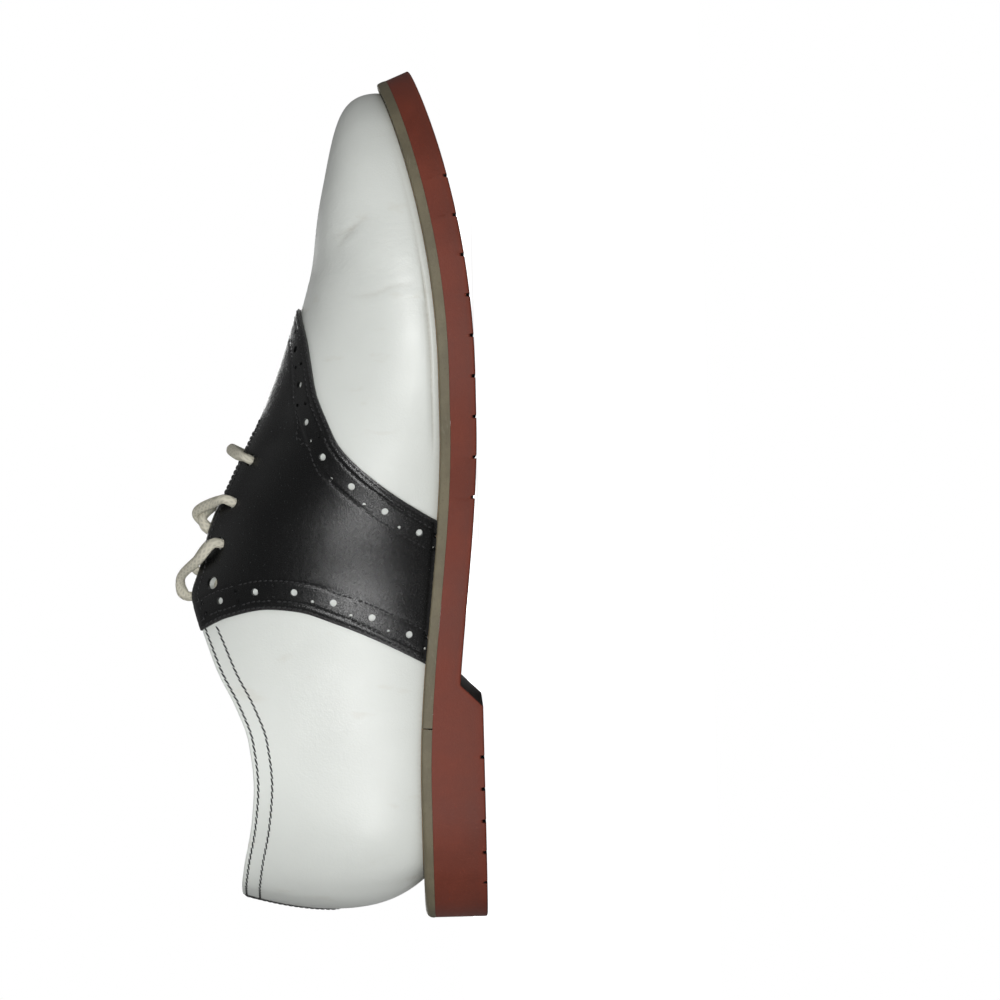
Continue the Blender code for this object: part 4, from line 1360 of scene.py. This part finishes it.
class SHOE_OT_outsole(Operator):
    """Builds the brick-red outsole: grooved tread, heel, and smooth side with a rounded lower edge"""
    bl_idname = "shoe.make_outsole"
    bl_label = "Outsole"

    ACROSS = 28
    LIP = 9 * MM
    GROOVE_CROWN = 0.7

    def execute(self, context):
        stations = sole_stations(150)
        across = self.ACROSS
        built = bmesh.new()
        dirt_and_shade = built.verts.layers.float.new("dirt_and_shade")
        rim_share = built.verts.layers.float.new("rim_share")
        rim_side = built.verts.layers.float.new("rim_side")

        def place(column, row):
            share = stations[column]
            left = sole_edge(MEDIAL, share, TREAD_BEVEL)
            right = sole_edge(LATERAL, share, TREAD_BEVEL)
            s = row / across
            spot = left.lerp(right, s)
            crown = 1 - self.GROOVE_CROWN * math.sin(math.pi * s)
            spot.z = tread_height(share) + groove_depth(share) * crown
            # The tread gets the full darkening: soiling and painted shade
            return spot, (1.0, share, -1.0 if s < 0.5 else 1.0)

        lay_grid(built, len(stations) - 1, across, place, True, (dirt_and_shade, rim_share, rim_side))
        weld(built)
        levels = [("bevel", 1 - math.sin(angle), 1 - math.cos(angle))
                  for angle in (k / 3 * math.pi / 2 for k in range(1, 4))]
        levels += [("side", 0.0, k / 6) for k in range(1, 7)] + [("lip", 0.0, 1.0)]
        rim = [edge for edge in built.edges if edge.is_boundary]
        for kind, inset, part in levels:
            grown = bmesh.ops.extrude_edge_only(built, edges=rim)["geom"]
            rim = [item for item in grown if isinstance(item, bmesh.types.BMEdge)]
            for vertex in {item for item in grown if isinstance(item, bmesh.types.BMVert)}:
                side = MEDIAL if vertex[rim_side] < 0 else LATERAL
                share = vertex[rim_share]
                low = tread_height(share) + groove_depth(share)
                # Bevel and side grow darker towards the underside: soiling and painted shade
                if kind == "bevel":
                    spot = sole_edge(side, share, TREAD_BEVEL * inset)
                    spot.z = low + TREAD_BEVEL * part
                    vertex[dirt_and_shade] = 0.25 * inset
                elif kind == "side":
                    foot = sole_edge(side, share, 0.0)
                    foot.z = low + TREAD_BEVEL
                    spot = foot.lerp(sole_point(side, share, OUTSOLE_THICKNESS), part)
                    vertex[dirt_and_shade] = 0.25 * (1 - part) ** 3
                else:
                    spot = sole_point(side, share, OUTSOLE_THICKNESS, self.LIP)
                vertex.co = spot
        bmesh.ops.holes_fill(built, edges=[edge for edge in built.edges if edge.is_boundary])
        bmesh.ops.recalc_face_normals(built, faces=built.faces)
        if built.calc_volume(signed=True) < 0:
            bmesh.ops.reverse_faces(built, faces=built.faces)
        sole = new_piece("outsole_rubber", built, [brick_rubber(context.scene.shoe_colours)], 32)
        belongs(sole, "brick_rubber", "outsole")
        return {"FINISHED"}


def sole_edge(side, share, inset):
    place = edge_place(side, share, 0.0) - outward(side, share, 0.0) * inset
    return Vector((place.x, place.y, 0.0))


class SHOE_OT_insole(Operator):
    """Builds the leather footbed inside the upper"""
    bl_idname = "shoe.make_insole"
    bl_label = "Insole"

    THICKNESS = 4.5 * MM

    def execute(self, context):
        columns, across = 110, 30
        shares = [share_of_turn(k / columns) for k in range(columns + 1)]
        built = bmesh.new()

        def place(column, row):
            share = shares[column]
            inset = UPPER_WALL + INSOLE_CLEARANCE
            depth = WELT_TOP + INSOLE_RISE
            left = sole_point(MEDIAL, share, depth, ledge(MEDIAL, share) + inset)
            right = sole_point(LATERAL, share, depth, ledge(LATERAL, share) + inset)
            s = row / across
            spot = left.lerp(right, s)
            spot.z -= 0.9 * MM * math.sin(math.pi * s) ** 0.7 * min(1.0, 6 * (1 - share))
            return spot

        lay_grid(built, columns, across, place, True)
        weld(built)
        built.normal_update()
        if sum(face.normal.z for face in built.faces) < 0:
            bmesh.ops.reverse_faces(built, faces=built.faces)
        edges = give_wall(built, lambda vertex: Vector((0.0, 0.0, -self.THICKNESS)))
        soften_rims(built, edges, 0.5 * MM, 2)
        insole = new_piece("insole_sock", built,
                           [tan_leather("insole_leather", tuple(context.scene.shoe_colours.insole))], 45)
        belongs(insole, "insole_tan", "insole")
        return {"FINISHED"}


def over_facing(side, share, distance, lift):
    climb = climb_below_top(side, share, distance)
    out = upper_normal(side, share, climb)
    return upper_point(side, share, climb) + out * lift, out


class SHOE_OT_lace(Operator):
    """Threads one woven lace through the eyelets, with both ends hidden at the top row"""
    bl_idname = "shoe.thread_lace"
    bl_label = "Lace"

    SIDES = 24
    STEP = 0.32 * MM
    END_DEPTH = 3.7 * MM
    WEAVE_PITCH = 0.42 * MM
    WEAVE_RELIEF = 0.07 * MM

    def bar(self):
        """Stops of the lowest run, straight across the throat from the medial to the lateral side."""
        share = eyelet_share(0)
        square = Vector((0.0, -top_slope(share), 1.0)).normalized()
        stops = []
        for side in (MEDIAL, LATERAL):
            half = [(*over_facing(side, share, EYELET_SETBACK + 0.5 * MM, 3.6 * MM), 0.9, 0.9),
                    (*over_facing(side, share, EYELET_SETBACK * 0.5, 4.6 * MM), 1.0, 1.0)]
            stops += half if side == MEDIAL else list(reversed(half))
            if side == MEDIAL:
                stops.append((throat_middle(share, 6.2 * MM), square, 1.0, 1.0))
        return stops

    def hole(self, side, row):
        """Stops down through an eyelet, from above it to under the facing."""
        middle, out = eyelet(side, row)
        return [(middle + out * 0.6 * MM, out, 0.86, 0.95), (middle - out * 1.6 * MM, out, 0.86, 0.95)]

    def under(self, side, row, toward):
        """A stop under the facing beside an eyelet, a little towards the throat."""
        share = eyelet_share(row) + toward * 0.010
        point, out = over_facing(side, share, EYELET_SETBACK * 0.62, -3.25 * MM)
        return (point, out, 1.1, 0.55)

    def low_crossing(self, side):
        """Stops from the lateral or medial lowest eyelet, under the facings, to the far eyelet of row two."""
        start, end = eyelet_share(0), eyelet_share(1)
        middle = (start + end) / 2
        depth = tongue_depth(start) - 1.7 * MM - (0.9 * MM if side == MEDIAL else 0.0)
        square = Vector((0.0, -top_slope(middle), 1.0)).normalized()
        low = (throat_middle(middle, -depth), square, 1.0, 0.6)
        return [self.under(side, 0, 1), low, self.under(-side, 1, -1)]

    def crossing(self, side, row):
        """Stops from above an eyelet, over the throat, to under the far eyelet of the next row."""
        start, end = eyelet_share(row), eyelet_share(row + 1)
        if row == 2 and side == MEDIAL:
            return self.slack_crossing(side)
        middle = (start + end) / 2
        square = Vector((0.0, -top_slope(middle), 1.0)).normalized()
        over = 1.5 * MM if side == MEDIAL else -1.4 * MM
        peak = throat_middle(middle, (6.2 if row == 1 else 4.4) * MM + over)
        near, near_out = over_facing(side, start + (end - start) * 0.10, EYELET_SETBACK * 0.45, 4.4 * MM)
        rise, rise_out = over_facing(side, start, EYELET_SETBACK * 0.85, 3.9 * MM)
        late = start * 0.3 + end * 0.7
        dip = throat_middle(late, 3.4 * MM)
        dip.x -= side * max(half_gap(late) - 3.4 * MM, 0.0)
        deep = throat_middle(start * 0.18 + end * 0.82, -1.6 * MM)
        deep.x -= side * max(half_gap(end) - 2.2 * MM, 0.0)
        return [(rise, rise_out, 0.95, 0.95), (near, near_out, 1.0, 1.0), (peak, square, 1.0, 1.0),
                (dip, square, 0.95, 0.9), (deep, square, 0.95, 0.7), self.under(-side, row + 1, -0.2)]

    def slack_crossing(self, side):
        """Stops of the highest crossing, which hangs loose towards the heel before it goes under."""
        start, end = eyelet_share(2), eyelet_share(3)
        rise, rise_out = over_facing(side, start + 0.002, EYELET_SETBACK * 0.85, 3.9 * MM)
        near, near_out = over_facing(side, start + 0.022, EYELET_SETBACK * 0.35, 4.6 * MM)
        square = Vector((0.0, -top_slope(end), 1.0)).normalized()
        peak = throat_middle(end + 0.001, 6.6 * MM)
        late = throat_middle(0.611, 4.8 * MM)
        late.x -= side * 4.0 * MM
        dip = throat_middle(0.613, 0.6 * MM)
        dip.x -= side * 5.4 * MM
        under = throat_middle(0.606, -3.4 * MM)
        under.x -= side * 7.5 * MM
        return [(rise, rise_out, 0.95, 0.95), (near, near_out, 1.0, 1.0), (peak, square, 1.0, 1.0),
                (late, square, 1.0, 1.0), (dip, square, 0.95, 0.9), (under, square, 0.95, 0.7)]

    def half(self, side):
        """Stops from the lowest eyelet of a side up to the lace's hidden end."""
        stops = self.hole(side, 0) + self.low_crossing(side) + list(reversed(self.hole(-side, 1)))
        at = -side
        for row in (1, 2):
            stops += self.crossing(at, row)
            at = -at
            if row == 1:
                stops += list(reversed(self.hole(at, row + 1)))
        middle, out = eyelet(at, 3)
        stops.append((middle - out * self.END_DEPTH, out, 0.8, 0.5))
        return stops

    def steps_along(self, points):
        """Even steps on the smooth curve through points: place, number of points passed, length passed."""
        route = [(smooth_path(points, k / 40), k / 40) for k in range((len(points) - 1) * 40 + 1)]
        lengths = [0.0]
        for (a, _), (b, _) in zip(route, route[1:]):
            lengths.append(lengths[-1] + (b - a).length)
        count = int(lengths[-1] / self.STEP)
        steps = []
        k = 0
        for n in range(count + 1):
            wanted = lengths[-1] * n / count
            while k < len(lengths) - 2 and lengths[k + 1] < wanted:
                k += 1
            part = (wanted - lengths[k]) / max(lengths[k + 1] - lengths[k], 1e-12)
            at = route[k][1] + (route[k + 1][1] - route[k][1]) * part
            steps.append((smooth_path(points, at), at, wanted))
        return steps

    def sections(self, stops):
        """Middle, upward and sideways direction, width, thickness and length passed at each step."""
        steps = self.steps_along([stop[0] for stop in stops])
        made = []
        for n, (point, at, passed) in enumerate(steps):
            ahead = (steps[min(n + 1, len(steps) - 1)][0] - steps[max(n - 1, 0)][0]).normalized()
            i = min(int(at), len(stops) - 2)
            up = stops[i][1].lerp(stops[i + 1][1], at - i)
            if made and abs(up.normalized().dot(ahead)) > 0.75:
                up = made[-1][1]
            up = (up - ahead * up.dot(ahead)).normalized()
            if made:
                up = made[-1][1].lerp(up, 0.12)
                up = (up - ahead * up.dot(ahead)).normalized()
            size = Vector(stops[i][2:]).lerp(Vector(stops[i + 1][2:]), at - i)
            made.append((point, up, ahead.cross(up).normalized(), size.x, size.y, passed))
        return made

    def execute(self, context):
        sizes = context.scene.shoe_sizes
        sections = self.sections(list(reversed(self.half(MEDIAL))) + self.bar() + self.half(LATERAL))
        built = bmesh.new()
        weave = built.verts.layers.float.new("weave")

        def place(column, row):
            point, up, beside, wide, thick, passed = sections[column]
            angle = 2 * math.pi * (row % self.SIDES) / self.SIDES
            high = max(math.cos(angle * 6 + way * passed / self.WEAVE_PITCH) for way in (1, -1))
            swell = self.WEAVE_RELIEF * high
            across = math.cos(angle) * (sizes.lace_width * wide / 2 + swell)
            rise = math.sin(angle) * (sizes.lace_thickness * thick / 2 + swell)
            # The weave value is how high the woven relief stands, for the painted shade in its hollows
            return point + beside * across + up * rise, (0.5 + 0.5 * high,)

        lay_grid(built, len(sections) - 1, self.SIDES, place, False, (weave,))
        weld(built)
        bmesh.ops.holes_fill(built, edges=[edge for edge in built.edges if edge.is_boundary])
        bmesh.ops.recalc_face_normals(built, faces=built.faces)
        lace = new_piece("lace_cord", built, [cotton(context.scene.shoe_colours)], 70)
        belongs(lace, "lace_cotton", "lace_bar", "lace_cross_1", "lace_cross_2", "lace_cross_3")
        return {"FINISHED"}


def line_below_top(side, distance, span, count):
    """Points on the upper, a distance down from its top line, over a span of the length."""
    return [upper_point(side, share, climb_below_top(side, share, distance))
            for share in even(*span, count)]


def sew(built, template, tree, line, pitch, thread_width, slant=0.12, start=0.0, fill=0.86):
    """Lays stitches along a line, each on the surface that the tree holds."""
    for spot, ahead in walk(line, pitch, start):
        found, out, _, _ = tree.find_nearest(spot)
        if found is None:
            continue
        ahead = (ahead - out * ahead.dot(out)).normalized()
        beside = out.cross(ahead)
        turned = ahead * math.cos(slant) + beside * math.sin(slant)
        across = out.cross(turned)
        size = Matrix.Diagonal((pitch * fill / 2, thread_width / 2, thread_width * 0.42, 1.0))
        axes = Matrix((turned, across, out)).transposed().to_4x4()
        axes.translation = found + out * (thread_width * 0.05)
        stitch = template.copy()
        stitch.transform(axes @ size)
        built.from_mesh(stitch)
        bpy.data.meshes.remove(stitch)


class SHOE_OT_stitches(Operator):
    """Sews the saddle's bands and facings, the collar, the back strip and the welt"""
    bl_idname = "shoe.sew_stitches"
    bl_label = "Stitches"

    WELT_STITCH = 3.1 * MM
    WELT_THREAD = 0.75 * MM

    def execute(self, context):
        colours, sizes = context.scene.shoe_colours, context.scene.shoe_sizes
        black = thread("black_thread", tuple(colours.black_thread))
        shape = bmesh.new()
        bmesh.ops.create_uvsphere(shape, u_segments=6, v_segments=4, radius=1.0,
                                  matrix=Matrix.Rotation(math.pi / 2, 4, "Y"))
        template = bpy.data.meshes.new("stitch_shape")
        shape.to_mesh(template)
        shape.free()
        pitch, width = sizes.stitch_length, sizes.thread_width
        saddle = skin_tree(bpy.data.objects["saddle_leather"], faces_out)
        upper = skin_tree(bpy.data.objects["upper_leather"], faces_out)

        built = bmesh.new()
        for edge in (0, 1):
            for inset in (EDGE_ROW, SECOND_ROW, BAND_ROW):
                medial = saddle_line(MEDIAL, edge, inset)
                lateral = saddle_line(LATERAL, edge, inset)
                for line in [medial + lateral[::-1]] if edge == 0 else [medial, lateral]:
                    sew(built, template, saddle, line, pitch, width, start=1.2 * MM)
        for side in (MEDIAL, LATERAL):
            for inset in FACING_ROWS:
                sew(built, template, saddle, line_below_top(side, inset, FACING_SPAN, 50), pitch, width)
        belongs(new_piece("saddle_stitches", built, [black], 80), "black_leather")

        built = bmesh.new()
        for side in (MEDIAL, LATERAL):
            for row in COLLAR_ROWS:
                sew(built, template, upper, line_below_top(side, row, COLLAR_SPAN, 90),
                    sizes.collar_stitch_length, width * 0.95, slant=0.24, fill=1.32)
        belongs(new_piece("collar_stitches", built, [black], 80), "white_leather")

        back = skin_tree(bpy.data.objects["backstay_leather"], faces_out)
        built = bmesh.new()
        for side in (MEDIAL, LATERAL):
            line = []
            for up in even(0.02, 0.97, 41):
                reach = max(backstay_reach(up) - EDGE_ROW, 0.3 * MM)
                line.append(backstay_point(side, reach, backstay_climb(up)))
            sew(built, template, back, line, pitch, width * 0.6)
        belongs(new_piece("backstay_stitches", built, [black], 80), "black_leather")

        welt = skin_tree(bpy.data.objects["welt_strip"], faces_up)
        built = bmesh.new()
        line = [sole_point(side, share, WELT_TOP, (WELT_BEVEL + ledge(side, share)) * 0.5)
                for side, share in welt_stations(WELT_JOINT - 0.004, 0.0, 120)]
        sew(built, template, welt, line, self.WELT_STITCH, self.WELT_THREAD, slant=0.1, fill=0.9)
        pale = thread("welt_thread", tuple(colours.welt_thread))
        belongs(new_piece("welt_stitches", built, [pale], 80), "welt_olive")
        bpy.data.meshes.remove(template)
        return {"FINISHED"}


def area_light(name, place, target, size, watts):
    lamp = bpy.data.lights.new(name, "AREA")
    lamp.shape = "SQUARE"
    lamp.size = size
    lamp.energy = watts
    thing = bpy.data.objects.new(name, lamp)
    thing.location = place
    thing.rotation_euler = (Vector(target) - Vector(place)).to_track_quat("-Z", "Y").to_euler()
    thing.visible_camera = False
    bpy.context.scene.collection.objects.link(thing)


class SHOE_OT_stage(Operator):
    """Sets the pale floor, the soft lights and the rolled camera at floor level"""
    bl_idname = "shoe.set_stage"
    bl_label = "Stage"

    # In pixels of the photograph
    PICTURE = 1000.0
    OPTICAL_AXIS = (452.0, 500.0)
    SHOE_MIDDLE = 494.5
    ROLL = 0.025

    def execute(self, context):
        scene = context.scene
        sizes, colours = scene.shoe_sizes, scene.shoe_colours
        scene.view_settings.view_transform = "Standard"
        built = bmesh.new()
        bmesh.ops.create_grid(built, x_segments=8, y_segments=8, size=30.0)
        bmesh.ops.translate(built, verts=built.verts, vec=(0.0, 0.0, -0.15 * MM))
        floor = new_piece("studio_floor", built, [floor_surface(tuple(colours.floor), 0.93)])

        scene.world = scene.world or bpy.data.worlds.new("studio")
        studio = Finish("studio", scene.world)
        seen = Link(studio, studio.node("ShaderNodeLightPath").outputs["Is Camera Ray"])
        studio.done(color=(1.0, 1.0, 1.0), strength=WORLD_LIGHT + seen * (1 - WORLD_LIGHT))

        shown_side = (-0.03, 0.0, 0.035)
        area_light("key_light", (-0.68, -0.02, 0.055), shown_side, 0.10, 2.05)
        area_light("side_light", (-0.62, 0.20, 0.035), shown_side, 0.06, 0.85)
        area_light("fill_light", (1.2, 0.15, 0.40), (0.0, 0.0, 0.04), 0.7, 8.5)
        area_light("top_light", (-0.1, -0.1, 1.5), (0.0, 0.0, 0.0), 1.1, 1.0)

        camera = bpy.data.cameras.new("shoe_camera")
        camera.sensor_width = 36.0
        camera.lens = 36.0 * sizes.camera_distance / sizes.frame_height
        camera.shift_x = (self.PICTURE / 2 - self.OPTICAL_AXIS[0]) / self.PICTURE
        camera.clip_end = 100.0
        eye = bpy.data.objects.new("shoe_camera", camera)
        right = Vector((0.0, math.sin(self.ROLL), -math.cos(self.ROLL)))
        up = Vector((0.0, -math.cos(self.ROLL), -math.sin(self.ROLL)))
        back = right.cross(up)
        eye.matrix_world = Matrix((right, up, back)).transposed().to_4x4()
        along = (self.OPTICAL_AXIS[1] - self.SHOE_MIDDLE) * sizes.frame_height / self.PICTURE
        eye.location = (-sizes.camera_distance, along, sizes.camera_height)
        scene.collection.objects.link(eye)
        scene.camera = eye
        return {"FINISHED"}


class SHOE_PT_panel(Panel):
    """Lists the shoe's pieces in the sidebar"""
    bl_label = "Saddle shoe"
    bl_idname = "SHOE_PT_panel"
    bl_space_type = "VIEW_3D"
    bl_region_type = "UI"
    bl_category = "Shoe"

    def draw(self, context):
        for operator in STEPS:
            self.layout.operator(operator.bl_idname)
        for group in (context.scene.shoe_sizes, context.scene.shoe_colours):
            for name in group.bl_rna.properties.keys():
                if name not in ("rna_type", "name"):
                    self.layout.prop(group, name)


STEPS = (SHOE_OT_stage, SHOE_OT_upper, SHOE_OT_saddle, SHOE_OT_backstay, SHOE_OT_tongue, SHOE_OT_welt,
         SHOE_OT_outsole, SHOE_OT_insole, SHOE_OT_lace, SHOE_OT_stitches)
CLASSES = (ShoeColours, ShoeSizes, *STEPS, SHOE_PT_panel)


def register():
    for item in CLASSES:
        bpy.utils.register_class(item)
    bpy.types.Scene.shoe_colours = PointerProperty(type=ShoeColours)
    bpy.types.Scene.shoe_sizes = PointerProperty(type=ShoeSizes)


def unregister():
    del bpy.types.Scene.shoe_sizes
    del bpy.types.Scene.shoe_colours
    for item in reversed(CLASSES):
        bpy.utils.unregister_class(item)


def main():
    register()
    bpy.ops.shoe.set_stage()
    bpy.ops.shoe.make_upper()
    bpy.ops.shoe.make_saddle()
    bpy.ops.shoe.make_backstay()
    bpy.ops.shoe.make_tongue()
    bpy.ops.shoe.make_welt()
    bpy.ops.shoe.make_outsole()
    bpy.ops.shoe.make_insole()
    bpy.ops.shoe.thread_lace()
    bpy.ops.shoe.sew_stitches()


if __name__ == "__main__":
    main()
